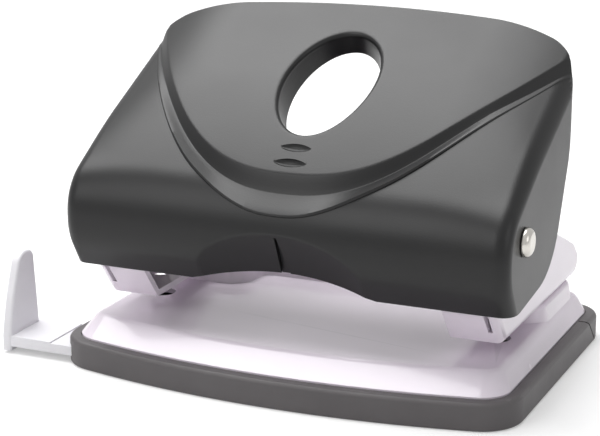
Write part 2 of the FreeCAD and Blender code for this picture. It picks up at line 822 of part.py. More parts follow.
# Rivets
# Domed heads stand on the bracket's web, and the closed heads sit under the plateau.
def rivets(name, side):
    web_top = S.plateau_height + S.bracket_sheet
    under = S.plateau_height - S.sheet
    heads = []
    for place_name, depth in (("front", S.rivet_front), ("rear", S.rivet_rear)):
        rivet = turned(name + "_" + place_name, [
            (ZERO, under - S.rivet_head),
            (S.rivet_head_radius, under - S.rivet_head),
            (S.rivet_head_radius, under),
            (S.rivet_radius, under),
            (S.rivet_radius, web_top),
            (S.rivet_head_radius, web_top),
            (S.rivet_head_radius, web_top + S.rivet_head, S.rivet_head * 0.8),
            (ZERO, web_top + S.rivet_head),
        ])
        heads.append(place(rivet, S.hole_spacing / 2 * side, depth))
    return compound(name, heads)


# Punch pins
# A ground pin with a hollowed cutting end, a groove for its clip and a crowned top.
def punch_pin(name, side):
    groove_radius = S.punch_radius - S.clip_groove
    blank = turned(name + "_blank", [
        (ZERO, punch_tip),
        (S.punch_radius, punch_tip),
        (S.punch_radius, groove_low),
        (groove_radius, groove_low),
        (groove_radius, groove_high),
        (S.punch_radius, groove_high),
        (S.punch_radius, punch_top, S.punch_crown),
        (ZERO, punch_top),
    ])
    place(blank, S.hole_spacing / 2 * side, S.punch_depth)
    height = punch_tip + S.punch_notch - S.notch_radius
    start = S.punch_depth - S.punch_radius - S.overrun
    length = (S.punch_radius + S.overrun) * 2
    notch = cylinder(name + "_notch", S.hole_spacing / 2 * side, start, height, S.notch_radius, length, Vector(0, 1, 0))
    return boolean("Cut", name, blank, notch)


# Spring washers and retaining clips
def ring(name, side, low, thickness, inner, outer):
    made = turned(name, [(inner, low), (outer, low), (outer, low + thickness), (inner, low + thickness)])
    return place(made, S.hole_spacing / 2 * side, S.punch_depth)


def spring_washer(name, side):
    return ring(name, side, S.spring_top, S.washer_thickness, S.punch_radius + S.seat_gap, S.washer_radius)


def retaining_clip(name, side):
    low = S.spring_top + S.washer_thickness + S.seat_gap
    bore = S.punch_radius - S.clip_groove + S.seat_gap
    whole = ring(name + "_ring", side, low, S.clip_thickness, bore, S.clip_radius)
    mouth = add("Part::Box", name + "_mouth")
    place(mouth, S.hole_spacing / 2 * side - S.clip_mouth / 2, S.punch_depth, low - S.overrun)
    bind(mouth, "Length", S.clip_mouth)
    bind(mouth, "Width", S.clip_radius + S.overrun)
    bind(mouth, "Height", S.clip_thickness + S.overrun * 2)
    return boolean("Cut", name, whole, mouth)


# Return springs
# Wire wound round the pin between the lower web and the washer, as tangent arcs.
def tangent_arc(start, heading, end):
    """The arc that leaves a point along a heading and ends at another point."""
    chord = end - start
    aim = chord.normalize()
    length = (end - start).Length
    across = heading - aim * heading.dot(aim)
    across.normalize()
    bend = heading.getAngle(aim)
    middle = (start + end) * 0.5 + across * (length / 2 * math.tan(bend / 2))
    return Part.Arc(start, middle, end).toShape()


def spring_path(radius, low, high, turns):
    """Biarcs along a helix about the Z axis."""
    steps = int(round(turns * ARCS_PER_TURN))
    pitch = (high - low) / turns

    def spot(index):
        angle = math.tau * index / ARCS_PER_TURN
        return Vector(radius * math.cos(angle), radius * math.sin(angle), low + pitch * index / ARCS_PER_TURN)

    def heading(index):
        angle = math.tau * index / ARCS_PER_TURN
        made = Vector(-radius * math.sin(angle), radius * math.cos(angle), pitch / math.tau)
        return made.normalize()

    edges = []
    for index in range(steps):
        start, end = spot(index), spot(index + 1)
        first, last = heading(index), heading(index + 1)
        chord = end - start
        both = first + last
        spread = 2 * (1 - first.dot(last))
        along = chord.dot(both)
        reach = (-along + math.sqrt(along ** 2 + spread * chord.dot(chord))) / spread
        joint = (start + end + (first - last) * reach) * 0.5
        edges.append(tangent_arc(start, first, joint))
        edges.append(tangent_arc(end, -last, joint))
    return Part.Wire(Part.__sortEdges__(edges)), spot(0), heading(0)


def punch_spring(name, side):
    wire = S.wire_radius.value
    low = (S.plateau_height + S.bracket_sheet + S.wire_radius + S.seat_gap).value
    high = (S.spring_top - S.wire_radius - S.seat_gap).value
    path, start, aim = spring_path(S.spring_radius.value, low, high, SPRING_TURNS)
    section = Part.Wire(Part.makeCircle(wire, start, aim))
    coil = path.makePipeShell([section], True, False)
    gap = (high - low) / SPRING_TURNS - wire * 2
    print(name, "least gap between turns", round(gap, 3))
    made = add("Part::Feature", name)
    made.Shape = coil
    place(made, S.hole_spacing / 2 * side, S.punch_depth)
    return made


# Pivot pins and their retainers
# Turned along Z, then laid along X with the domed head outside the lever.
def lay_outwards(made, side):
    made.Placement = FreeCAD.Placement(Vector(), FreeCAD.Rotation(Vector(0, 0, 1), Vector(side, 0, 0)))
    return place(made, ZERO, S.pivot_depth, S.pivot_height)


def pivot_pin(name, side):
    head = S.cover_reach + S.running_gap * 2
    made = turned(name, [
        (ZERO, S.pivot_inner),
        (S.pivot_radius, S.pivot_inner),
        (S.pivot_radius, head),
        (S.pivot_head_radius, head),
        (S.pivot_head_radius, head + S.pivot_head, S.pivot_head * 0.9),
        (ZERO, head + S.pivot_head),
    ])
    return lay_outwards(made, side)


wall_face = S.bracket_outer - S.bracket_sheet
ear_face = wall_face - S.plate_ear_gap
ear_inner = ear_face - S.ear_sheet


def pivot_retainer(name, side):
    outer_face = ear_inner - S.loose_gap
    inner_face = outer_face - S.retainer_thickness
    bore = S.pivot_radius + S.seat_gap
    made = turned(name, [
        (bore, inner_face),
        (S.retainer_radius, inner_face),
        (S.retainer_radius, outer_face),
        (bore, outer_face),
    ])
    return lay_outwards(made, side)


side_nodes = {}
for side, prefix in ((-1, "left"), (1, "right")):
    makers = {
        "punch_bracket": bracket,
        "bracket_rivets": rivets,
        "punch_pin": punch_pin,
        "punch_spring": punch_spring,
        "spring_washer": spring_washer,
        "retaining_clip": retaining_clip,
        "pivot_pin": pivot_pin,
        "pivot_retainer": pivot_retainer,
    }
    for suffix, maker in makers.items():
        name = prefix + "_" + suffix
        side_nodes[name] = maker(name, side)

# Press plate
# A steel strip across the lever with an ear at each pivot and a half-round pad over each pin.
press_plate = body("lever_press_plate")
strip = sketch_on(press_plate, "strip_plan", "XY_Plane", plate_underside)
plate_front = S.punch_depth - S.plate_front_reach
plate_rear = S.punch_depth + S.plate_rear_reach
rear_round = S.plate_edge_round
outline(strip, [
    (-ear_face, plate_front),
    (ear_face, plate_front),
    (ear_face, plate_rear, rear_round),
    (-ear_face, plate_rear, rear_round),
])
pad(press_plate, "strip", strip, S.plate_sheet)
for side, prefix in ((-1, "left"), (1, "right")):
    turned_back = side < 0
    disc = sketch_on(press_plate, prefix + "_ear_disc", "YZ_Plane", ear_inner * side)
    circle(disc, S.pivot_depth, S.pivot_height, S.plate_ear_radius)
    pad(press_plate, prefix + "_ear", disc, S.ear_sheet, backwards=turned_back)
    arm = sketch_on(press_plate, prefix + "_arm_side", "YZ_Plane", ear_inner * side)
    arm_top = plate_underside + S.plate_sheet
    arm_foot = S.pivot_height - S.plate_ear_radius
    outline(arm, [
        (S.pivot_depth, arm_foot),
        (plate_front, arm_foot, S.plate_edge_round),
        (S.punch_depth, plate_underside),
        (S.punch_depth, arm_top),
        (plate_front, arm_top, S.plate_edge_round),
        (S.pivot_depth, S.pivot_height + S.plate_ear_radius),
    ])
    pad(press_plate, prefix + "_arm", arm, S.ear_sheet, backwards=turned_back)
    ridge = sketch_on(press_plate, prefix + "_pad_side", "YZ_Plane", S.pad_inner * side)
    circle(ridge, S.punch_depth, plate_underside, S.pad_radius)
    pad(press_plate, prefix + "_pad", ridge, ear_inner - S.pad_inner, backwards=turned_back)
bores = sketch_on(press_plate, "ear_bores", "YZ_Plane")
circle(bores, S.pivot_depth, S.pivot_height, S.pivot_radius + S.running_gap)
pocket(press_plate, "ear_bore_cut", bores, S.tray_length, centred=True)
screw_holes = sketch_on(press_plate, "screw_holes", "XY_Plane", plate_underside - S.overrun)
for side in (-1, 1):
    circle(screw_holes, S.screw_reach * side, S.punch_depth, S.screw_radius + S.seat_gap)
pocket(press_plate, "screw_hole_cut", screw_holes, S.plate_sheet + S.overrun * 2, backwards=True)

# Screws that hold the press plate to the cover's bosses
screws = []
for side, prefix in ((-1, "left"), (1, "right")):
    head = plate_underside - S.screw_head
    screw = turned(prefix + "_plate_screw", [
        (ZERO, head),
        (S.screw_head_radius, head, S.screw_head * 0.4),
        (S.screw_head_radius, plate_underside),
        (S.screw_radius, plate_underside),
        (S.screw_radius, plate_underside + S.screw_length),
        (ZERO, plate_underside + S.screw_length),
    ])
    screws.append(place(screw, S.screw_reach * side, S.punch_depth))
press_plate_screws = compound("press_plate_screws", screws)

# Lever cover
# A moulded hood: one side outline drawn across the width, trimmed to its plan and hollowed.
# It is drawn about the pivot's axis and placed there at the end.
cover_corners = [
    (S.cover_lip_depth, S.cover_lip_height),
    (S.cover_nose, S.chin_height, S.chin_round),
    (S.cover_nose, S.brow_height, S.brow_round),
    (S.crown_depth, S.crown_height, S.crown_round),
    (S.cover_rear, S.cover_rear_top),
    (S.cover_rear, S.cover_rear_foot),
    (S.cover_heel_depth, S.cover_heel_height),
    (S.flank_depth, S.flank_height, S.flank_round),
    (S.hip_depth, S.hip_height, S.hip_round),
    (S.toe_depth, S.cover_lip_height),
]


def drawn_in(corners, index, amount):
    """One corner of an outline moved in so that both its sides lie an amount inside."""
    spots = [Vector(corner[0].value, corner[1].value, 0) for corner in corners]
    into = (spots[index] - spots[index - 1]).normalize()
    away = (spots[(index + 1) % len(spots)] - spots[index]).normalize()
    first = Vector(into.y, -into.x, 0)
    second = Vector(away.y, -away.x, 0)
    shift = (first + second) * (1 / (1 + first.dot(second)))
    moved = [corners[index][0] + amount * shift.x, corners[index][1] + amount * shift.y]
    if len(corners[index]) > 2:
        moved.append(corners[index][2] - amount)
    return tuple(moved)


def cover_plan(sketch, inset):
    """The hood's plan: straight sides and a bowed rear with round corners."""
    reach = S.cover_reach - inset
    outline(sketch, [
        (-reach, S.cover_nose - S.overrun),
        (reach, S.cover_nose - S.overrun),
        (reach, S.cover_rear_side - inset, S.cover_rear_corner - inset),
        (ZERO, S.cover_rear_apex - inset, S.cover_rear_bow - inset),
        (-reach, S.cover_rear_side - inset, S.cover_rear_corner - inset),
    ])


prism_foot = S.cover_lip_height - S.overrun
prism_rise = (S.cover_rear_top - S.cover_lip_height) * 2
cover_form = body("cover_form")
cover_side = sketch_on(cover_form, "cover_side", "YZ_Plane")
outline(cover_side, cover_corners)
pad(cover_form, "cover_block", cover_side, S.cover_reach * 2, centred=True)
skin_edges = []
for edge in cover_side.Shape.Edges:
    middle = edge.valueAt((edge.FirstParameter + edge.LastParameter) / 2)
    rise = (S.cover_rear_top - S.cover_lip_height).value
    run = (S.cover_rear - S.cover_lip_depth).value
    climb = (middle.z - S.cover_lip_height.value) * run - (middle.y - S.cover_lip_depth.value) * rise
    if climb > 0:
        skin_edges.append(edge)
skin_line = Part.makeCompound(skin_edges)


def skin_edge(edge, middle):
    """An edge where the hood's curved skin meets one of its sides."""
    on_side = near(abs(middle.x), S.cover_reach.value)
    return on_side and skin_line.distToShape(Part.Vertex(0, middle.y, middle.z))[0] < 1e-3


fillet(cover_form, "cover_edges", skin_edge, S.cover_edge_round)

# Raised panel, cut to its rough plan here and to its true edge by the groove
panel_side = free_sketch("panel_side", "X")
outline(panel_side, [
    (S.panel_front, S.panel_front_height),
    (S.panel_crown_depth, S.panel_crown_height, S.crown_round),
    (S.cover_rear_apex, S.panel_rear_height),
    (S.cover_rear_apex, S.panel_rear_height - S.panel_root),
    (S.panel_crown_depth, S.panel_crown_height - S.panel_root, S.crown_round - S.panel_root),
    (S.panel_front, S.panel_front_height - S.panel_root),
])
panel_band = extrude("panel_band", panel_side, S.cover_reach * 2, Vector(1, 0, 0), centred=True)


def grown(start, sweep, share, power):
    return start + sweep * (abs(share) ** power)


rough_corners = []
for share in GROOVE_SHARES:
    wall = grown(S.wall_top_depth, S.wall_sweep, share, WALL_SWEEP_POWER)
    ledge = grown(S.ledge_front, S.ledge_sweep, share, LEDGE_SWEEP_POWER)
    rough_corners.append((S.panel_reach * share, (wall + ledge) / 2))
rough_corners.append((S.panel_reach * GROOVE_SHARES[-1], S.cover_rear_apex + S.overrun))
rough_corners.append((S.panel_reach * GROOVE_SHARES[0], S.cover_rear_apex + S.overrun))
panel_plan = free_sketch("panel_plan", "Z", prism_foot)
outline(panel_plan, rough_corners)
panel_prism = extrude("panel_prism", panel_plan, prism_rise, Vector(0, 0, 1))
cover_plan_outer = free_sketch("cover_plan_outer", "Z", prism_foot)
cover_plan(cover_plan_outer, ZERO)
cover_prism = extrude("cover_prism", cover_plan_outer, prism_rise, Vector(0, 0, 1))
panel = boolean("Common", "panel", panel_band, panel_prism)
cover_whole = fuse("cover_whole", [cover_form, panel])
cover_solid = boolean("Common", "cover_solid", cover_whole, cover_prism)
doc.recompute()
skin_face = Part.Face(Part.Wire(Part.__sortEdges__(cover_side.Shape.Edges)))
panel_face = Part.Face(Part.Wire(Part.__sortEdges__(panel_side.Shape.Edges)))


def top_of(face, depth):
    """Height of a side outline's upper edge at a depth."""
    high = (S.cover_rear_top * 2).value
    line = Part.makeLine(Vector(0, depth, -high), Vector(0, depth, high))
    return face.common(line).BoundBox.ZMax


# Groove round the panel
# Each section is a steep wall down from the panel's edge and a ledge that rises to the hood's skin.
groove_wires = []
for share in GROOVE_SHARES:
    x = S.panel_reach.value * share
    fade = max(0.0, 1 - abs(share) ** SINK_FADE_POWER)
    wall_top = grown(S.wall_top_depth, S.wall_sweep, share, WALL_SWEEP_POWER).value
    wall_foot = wall_top - S.wall_lean.value
    ledge_end = grown(S.ledge_front, S.ledge_sweep, share, LEDGE_SWEEP_POWER).value
    foot = Vector(x, wall_foot, top_of(skin_face, wall_foot) - S.ledge_sink.value * fade)
    head = Vector(x, wall_top, top_of(panel_face, wall_top))
    edge = Vector(x, ledge_end, top_of(skin_face, ledge_end))
    above = head + (head - foot) * (S.groove_clear.value / (head - foot).Length)
    front = edge + Vector(0, -S.groove_clear.value / 2, S.groove_clear.value)
    groove_wires.append(Part.makePolygon([foot, above, front, edge, foot]))
groove = add("Part::Feature", "groove")
groove.Shape = Part.makeLoft(groove_wires, True, False)


# Oval finger hole: its collar inside the hood, its bore and its bevelled rim
oval_turn = FreeCAD.Rotation(Vector(1, 0, 0), OVAL_SLOPE)
oval_axis = oval_turn.multVec(Vector(0, 0, 1))


def oval(name, rise, growth):
    """An ellipse across the hole's axis, lifted along it and grown all round."""
    made = add("Part::Ellipse", name)
    bind(made, "MajorRadius", S.oval_half_length + growth)
    bind(made, "MinorRadius", S.oval_half_width + growth)
    made.Placement = FreeCAD.Placement(Vector(), oval_turn * FreeCAD.Rotation(Vector(0, 0, 1), 90))
    return place(made, ZERO, S.oval_depth + rise * oval_axis.y, S.oval_height + rise * oval_axis.z)


collar_ring = oval("collar_ring", -S.oval_collar, S.oval_wall)
collar = extrude("collar", collar_ring, S.oval_collar, oval_axis)
bore_ring = oval("bore_ring", -(S.oval_collar * 2), ZERO)
oval_bore = extrude("oval_bore", bore_ring, S.oval_collar * 4, oval_axis)
bevel = add("Part::Loft", "oval_rim")
bevel.Sections = [oval("rim_low", -S.oval_bevel, ZERO), oval("rim_high", S.oval_bevel * 2, S.oval_bevel * 3)]
bevel.Solid = True
bevel.Ruled = True

# Scoop in the lower front, a leaning round cut that fades out at its top and sides
scoop_fall = S.scoop_top - S.cover_lip_height - S.arch_rise
scoop_run = S.scoop_sink + (S.cover_lip_depth - S.cover_nose) * 0.5
scoop_lean = math.atan2(scoop_run.value, scoop_fall.value)
scoop_axis = Vector(0, -math.sin(scoop_lean), math.cos(scoop_lean))
scoop_out = Vector(0, -math.cos(scoop_lean), -math.sin(scoop_lean))


def on_scoop(out, along):
    """A place in front of the scoop's top line, by its distance out and along the fall."""
    y = S.cover_nose + out * scoop_out.y - along * scoop_axis.y
    z = S.scoop_top + out * scoop_out.z - along * scoop_axis.z
    return y, z


scoop_y, scoop_z = on_scoop(S.scoop_radius, S.scoop_radius)
scoop = cylinder("scoop", ZERO, scoop_y, scoop_z, S.scoop_radius, S.scoop_radius * 2, scoop_axis)
scoop_back_radius = S.scoop_radius + S.cover_skin
scoop_back = cylinder("scoop_back", ZERO, scoop_y, scoop_z, scoop_back_radius, S.scoop_radius * 2, scoop_axis)

# Hollow of the hood, less the collar, the scoop's back and the screw bosses
hollow_side = free_sketch("hollow_side", "X")
lip_line = drawn_in(cover_corners, 1, S.cover_skin)
lip_run = (S.cover_lip_depth - S.cover_nose).value / (S.chin_height - S.cover_lip_height).value
opening = S.cover_lip_height - S.overrun
inner_front = lip_line[0] + (lip_line[1] - opening) * lip_run
inner_rear = S.cover_rear_apex + S.overrun
rear_slope = (S.cover_rear_top - S.crown_height).value / (S.cover_rear - S.crown_depth).value
inner_crown = drawn_in(cover_corners, 3, S.cover_skin)
outline(hollow_side, [
    (inner_front, opening),
    lip_line,
    drawn_in(cover_corners, 2, S.cover_skin),
    inner_crown,
    (inner_rear, inner_crown[1] + (inner_rear - inner_crown[0]) * rear_slope),
    (inner_rear, opening),
])
hollow_band = extrude("hollow_band", hollow_side, S.cover_reach * 2, Vector(1, 0, 0), centred=True)
hollow_plan = free_sketch("hollow_plan", "Z", prism_foot)
cover_plan(hollow_plan, S.cover_wall)
hollow_prism = extrude("hollow_prism", hollow_plan, prism_rise, Vector(0, 0, 1))
hollow_main = boolean("Common", "hollow_main", hollow_band, hollow_prism)
# The rear wall ends at its foot, so the hollow is open to the rear below it.
doorway_side = free_sketch("doorway_side", "X")
rectangle(doorway_side, S.flank_depth, inner_rear, opening, S.cover_heel_height - S.cover_wall)
doorway = extrude("doorway", doorway_side, (S.cover_reach - S.cover_wall) * 2, Vector(1, 0, 0), centred=True)
inside = [collar, scoop_back]
screw_bores = []
screw_y = S.punch_depth - S.pivot_depth
strip_foot = plate_underside - S.pivot_height
boss_foot = strip_foot + S.plate_sheet
boss_rise = S.cover_rear_top - boss_foot
for side, prefix in ((-1, "left"), (1, "right")):
    x = S.screw_reach * side
    inside.append(cylinder(prefix + "_boss", x, screw_y, boss_foot, S.boss_radius, boss_rise))
    bore_length = S.screw_length + S.overrun
    bore_radius = S.screw_radius + S.seat_gap
    screw_bores.append(cylinder(prefix + "_boss_bore", x, screw_y, strip_foot, bore_radius, bore_length))
hollow = boolean("Cut", "hollow", hollow_main, fuse("inside_pieces", inside))

# Arch in the lower lip, and a narrow groove down the middle of the scoop
arch_height = S.cover_lip_height + S.arch_rise - S.arch_radius
arch_start = S.cover_nose - S.overrun
arch = cylinder("arch", ZERO, arch_start, arch_height, S.arch_radius, S.scoop_sink * 5, Vector(0, 1, 0))
seam = add("Part::Box", "seam")
seam.Placement = FreeCAD.Placement(Vector(), FreeCAD.Rotation(Vector(0, 0, 1), scoop_axis))
seam_y, seam_z = on_scoop(-S.seam_depth, scoop_fall * 2)
place(seam, -S.seam_width / 2, seam_y, seam_z)
bind(seam, "Length", S.seam_width)
bind(seam, "Width", S.seam_depth * 2)
bind(seam, "Height", scoop_fall * 2)

# Two almond dimples below the oval hole, cut by spindles that lie along X
dimples = []
for name, depth, height in (
    ("upper_dimple_form", S.upper_dimple, S.upper_dimple_height),
    ("lower_dimple_form", S.lower_dimple, S.lower_dimple_height),
):
    dimple = turned(name, [
        (ZERO, -S.dimple_width / 2),
        (S.dimple_girth, ZERO, S.dimple_round),
        (ZERO, S.dimple_width / 2),
    ])
    dimple.Placement = FreeCAD.Placement(Vector(), FreeCAD.Rotation(Vector(0, 0, 1), Vector(1, 0, 0)))
    dimples.append(place(dimple, ZERO, depth, height))

# Camber: the top is level across its middle and falls away in a round sweep to each side
camber_slope = math.atan2(
    (S.panel_rear_height - S.panel_crown_height).value,
    (S.cover_rear_apex - S.panel_crown_depth).value,
)
camber_axis = Vector(0, math.cos(camber_slope), math.sin(camber_slope))
camber_rise = S.panel_crown_height - S.panel_crown_depth * math.tan(camber_slope) + S.running_gap * 2
camber_side = S.cover_reach + S.overrun
camber_line = add("Sketcher::SketchObject", "camber_line")
camber_line.Placement = FreeCAD.Placement(Vector(), FreeCAD.Rotation(Vector(1, 0, 0), 90))
outline(camber_line, [
    (-camber_side, camber_rise - S.camber_fall),
    (-S.camber_flat, camber_rise, S.camber_round),
    (S.camber_flat, camber_rise, S.camber_round),
    (camber_side, camber_rise - S.camber_fall),
    (camber_side, camber_rise + S.camber_fall),
    (-camber_side, camber_rise + S.camber_fall),
])
camber = extrude("camber", camber_line, S.cover_rear * 3, camber_axis, centred=True)

pivot_bore = cylinder(
    "cover_pivot_bore",
    -S.cover_reach - S.overrun,
    ZERO,
    ZERO,
    S.pivot_radius + S.running_gap,
    (S.cover_reach + S.overrun) * 2,
    Vector(1, 0, 0),
)
lever_cover = cover_solid
cutters = [groove, camber, hollow, doorway, oval_bore, bevel, scoop, arch, seam, pivot_bore]
for cutter in cutters + dimples + screw_bores:
    lever_cover = boolean("Cut", "cover_less_" + cutter.Name, lever_cover, cutter)
place(lever_cover, ZERO, S.pivot_depth, S.pivot_height)
doc.recompute()

nodes = {
    "chip_tray": chip_tray,
    "tray_heel": tray_heel,
    "paper_guide": paper_guide,
    "base_plate": base_plate,
    "lever_press_plate": press_plate,
    "press_plate_screws": press_plate_screws,
    "lever_cover": lever_cover,
}
nodes.update(side_nodes)
for name, node in nodes.items():
    node.Label = name
doc.recompute()

for item in doc.Objects:
    if {"Invalid", "Error"} & set(item.State):
        raise RuntimeError(item.Name + " has failed")
for name, node in nodes.items():
    if node.Shape.isNull() or not node.Shape.isValid() or not node.Shape.Solids:
        raise RuntimeError(name + " has no valid solid")
os.makedirs("parts", exist_ok=True)
for name, node in nodes.items():
    node.Shape.exportStep("parts/" + name + ".step")
    print(name, len(node.Shape.Solids), round(node.Shape.Volume, 1))
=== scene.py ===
import bmesh
import bpy
import math
from mathutils import Euler, Matrix, Vector


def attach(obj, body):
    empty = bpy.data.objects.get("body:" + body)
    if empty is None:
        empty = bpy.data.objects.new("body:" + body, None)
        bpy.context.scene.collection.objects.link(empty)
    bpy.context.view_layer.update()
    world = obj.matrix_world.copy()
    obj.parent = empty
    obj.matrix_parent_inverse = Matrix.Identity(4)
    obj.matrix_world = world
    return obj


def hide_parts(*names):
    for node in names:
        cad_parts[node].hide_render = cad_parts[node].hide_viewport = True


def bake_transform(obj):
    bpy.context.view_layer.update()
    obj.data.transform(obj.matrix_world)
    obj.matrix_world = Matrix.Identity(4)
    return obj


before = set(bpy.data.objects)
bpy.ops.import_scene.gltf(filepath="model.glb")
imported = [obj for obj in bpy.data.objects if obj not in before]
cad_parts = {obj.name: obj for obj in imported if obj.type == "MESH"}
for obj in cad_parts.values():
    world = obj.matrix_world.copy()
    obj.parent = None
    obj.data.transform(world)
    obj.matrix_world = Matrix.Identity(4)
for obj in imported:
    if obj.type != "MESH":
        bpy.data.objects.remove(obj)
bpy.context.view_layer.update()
scene = bpy.context.scene
scene.view_settings.view_transform = "Standard"

# Camera
# It stands in front of the punch, a little to its right and above it, at the photographed viewing
# angle, and its long lens takes in the whole punch with the paper guide at the left.
MM = 0.001
CAMERA_PLACE = Vector((150.3, -358.4, 137.8)) * MM
CAMERA_YAW = math.radians(23.83)
CAMERA_PITCH = math.radians(15.38)
CAMERA_LENS = 109.8
CAMERA_SENSOR = 36
CAMERA_NEAR = 10 * MM
camera_data = bpy.data.cameras.new("camera")
camera_data.lens = CAMERA_LENS
camera_data.sensor_width = CAMERA_SENSOR
camera_data.clip_start = CAMERA_NEAR
camera = bpy.data.objects.new("camera", camera_data)
camera.location = CAMERA_PLACE
camera.rotation_euler = Euler((math.pi / 2 - CAMERA_PITCH, 0, CAMERA_YAW))
scene.collection.objects.link(camera)
scene.camera = camera

# Studio
# A white sweep under soft lamps: a large box overhead, a little behind and to the left, and two weaker
# fills in front and at the right. Air and floor are white to the eye and dimmer as a light.
LAMPS = {
    "overhead": {"place": (-0.2, 0.08, 0.72), "size": (0.66, 0.74), "power": 7.7},
    "front_fill": {"place": (-0.35, -0.75, 0.55), "size": (0.5, 0.5), "power": 2.0},
    "right_fill": {"place": (0.8, -0.15, 0.35), "size": (0.4, 0.4), "power": 0.5},
}
LAMP_AIM = Vector((0, 0, 0.03))
AIR_LIGHT = 0.4
AIR_WHITE = 1.0
FLOOR_HALF = 4000 * MM
FLOOR_DROP = 0.05 * MM
FLOOR_WHITE = (0.7, 0.7, 0.7, 1)
FLOOR_ROUGHNESS = 0.9
FLOOR_SPECULAR = 0.1
FLOOR_GLOW_WHITE = (1, 1, 1, 1)
FLOOR_GLOW = 0.34
for name, lamp in LAMPS.items():
    light = bpy.data.lights.new(name, "AREA")
    light.shape = "RECTANGLE"
    light.size, light.size_y = lamp["size"]
    light.energy = lamp["power"]
    holder = bpy.data.objects.new(name, light)
    holder.location = lamp["place"]
    holder.rotation_euler = (LAMP_AIM - holder.location).to_track_quat("-Z", "Y").to_euler()
    scene.collection.objects.link(holder)


def seen_mask(tree, rays):
    """1 for a ray from the camera or of the named kinds, and 0 for the light on the punch."""
    path = tree.nodes.new("ShaderNodeLightPath")
    mask = path.outputs["Is Camera Ray"]
    for ray in rays:
        either = tree.nodes.new("ShaderNodeMath")
        either.operation = "MAXIMUM"
        tree.links.new(mask, either.inputs[0])
        tree.links.new(path.outputs[ray], either.inputs[1])
        mask = either.outputs[0]
    return mask


studio_air = bpy.data.worlds.new("studio_air")
scene.world = studio_air
studio_air.use_nodes = True
air = studio_air.node_tree
air.nodes.clear()
air_level = air.nodes.new("ShaderNodeMix")
air_level.data_type = "FLOAT"
air_level.inputs[2].default_value = AIR_LIGHT
air_level.inputs[3].default_value = AIR_WHITE
air_shader = air.nodes.new("ShaderNodeBackground")
air_out = air.nodes.new("ShaderNodeOutputWorld")
air_seen = seen_mask(air, ("Is Transmission Ray", "Is Glossy Ray"))
air.links.new(air_seen, air_level.inputs[0])
air.links.new(air_level.outputs[0], air_shader.inputs["Strength"])
air.links.new(air_shader.outputs[0], air_out.inputs[0])

sweep_white = bpy.data.materials.new("sweep_white")
sweep_white.use_nodes = True
sweep = sweep_white.node_tree
sweep_shader = sweep.nodes["Principled BSDF"]
sweep_shader.inputs["Base Color"].default_value = FLOOR_WHITE
sweep_shader.inputs["Roughness"].default_value = FLOOR_ROUGHNESS
sweep_shader.inputs["Specular IOR Level"].default_value = FLOOR_SPECULAR
sweep_shader.inputs["Emission Color"].default_value = FLOOR_GLOW_WHITE
sweep_glow = sweep.nodes.new("ShaderNodeMath")
sweep_glow.operation = "MULTIPLY"
sweep_glow.inputs[1].default_value = FLOOR_GLOW
sweep.links.new(seen_mask(sweep, ("Is Glossy Ray",)), sweep_glow.inputs[0])
sweep.links.new(sweep_glow.outputs[0], sweep_shader.inputs["Emission Strength"])
floor_form = bmesh.new()
bmesh.ops.create_grid(floor_form, x_segments=1, y_segments=1, size=FLOOR_HALF)
floor_mesh = bpy.data.meshes.new("floor")
floor_form.to_mesh(floor_mesh)
floor_form.free()
floor_mesh.materials.append(sweep_white)
floor = bpy.data.objects.new("floor", floor_mesh)
floor.location.z = -FLOOR_DROP
scene.collection.objects.link(floor)

# Chip tray and its heel
# One dark grey moulding of matt plastic under the whole punch: the tray swings on a thin living hinge
# behind, and the heel behind the hinge's slit is the strip that stays on the base plate.
TRAY_GREY = (0.098, 0.09, 0.093, 1)
TRAY_DARK = (0.08, 0.073, 0.076, 1)
TRAY_RUBBED = (0.19, 0.18, 0.185, 1)
MOULD_CORNER = 0.25 * MM
CORNER_SEGMENTS = 2
CREASE = math.radians(32)
MERGE_REACH = 0.002 * MM
FLAT_ANGLE = math.radians(0.05)

# How every finish is uneven: the noise's patches and grain, where patches start and are full, and how
# sharp an edge has to be before it is rubbed
PATCH_DETAIL = 4.0
PATCH_ROUGHNESS = 0.6
PATCH_RANGE = (0.38, 0.66)
GRAIN_DETAIL = 2.0
EDGE_RANGE = (0.515, 0.6)
NOISE_MIDDLE = 0.5
WEAR_INPUTS = {
    "Colour": "Color", "Patch Colour": "Color", "Edge Colour": "Color", "Patch Amount": "Float",
    "Edge Amount": "Float", "Patch Scale": "Float", "Grain Scale": "Float", "Roughness": "Float",
    "Roughness Spread": "Float", "Stretch": "Vector",
}
WEAR_OUTPUTS = {"Colour": "Color", "Roughness": "Float", "Height": "Float"}
EVEN = (1, 1, 1)

worn_surface = bpy.data.node_groups.new("worn_surface", "ShaderNodeTree")
for name, kind in WEAR_INPUTS.items():
    worn_surface.interface.new_socket(name, in_out="INPUT", socket_type="NodeSocket" + kind)
for name, kind in WEAR_OUTPUTS.items():
    worn_surface.interface.new_socket(name, in_out="OUTPUT", socket_type="NodeSocket" + kind)


def wear_node(kind, values=(), **settings):
    """A node of the worn surface, with its settings and the plain values of its sockets."""
    made = worn_surface.nodes.new(kind)
    for name, setting in settings.items():
        setattr(made, name, setting)
    for socket, value in values:
        made.inputs[socket].default_value = value
    return made


def wear_range(limits):
    return wear_node("ShaderNodeMapRange", (("From Min", limits[0]), ("From Max", limits[1])))


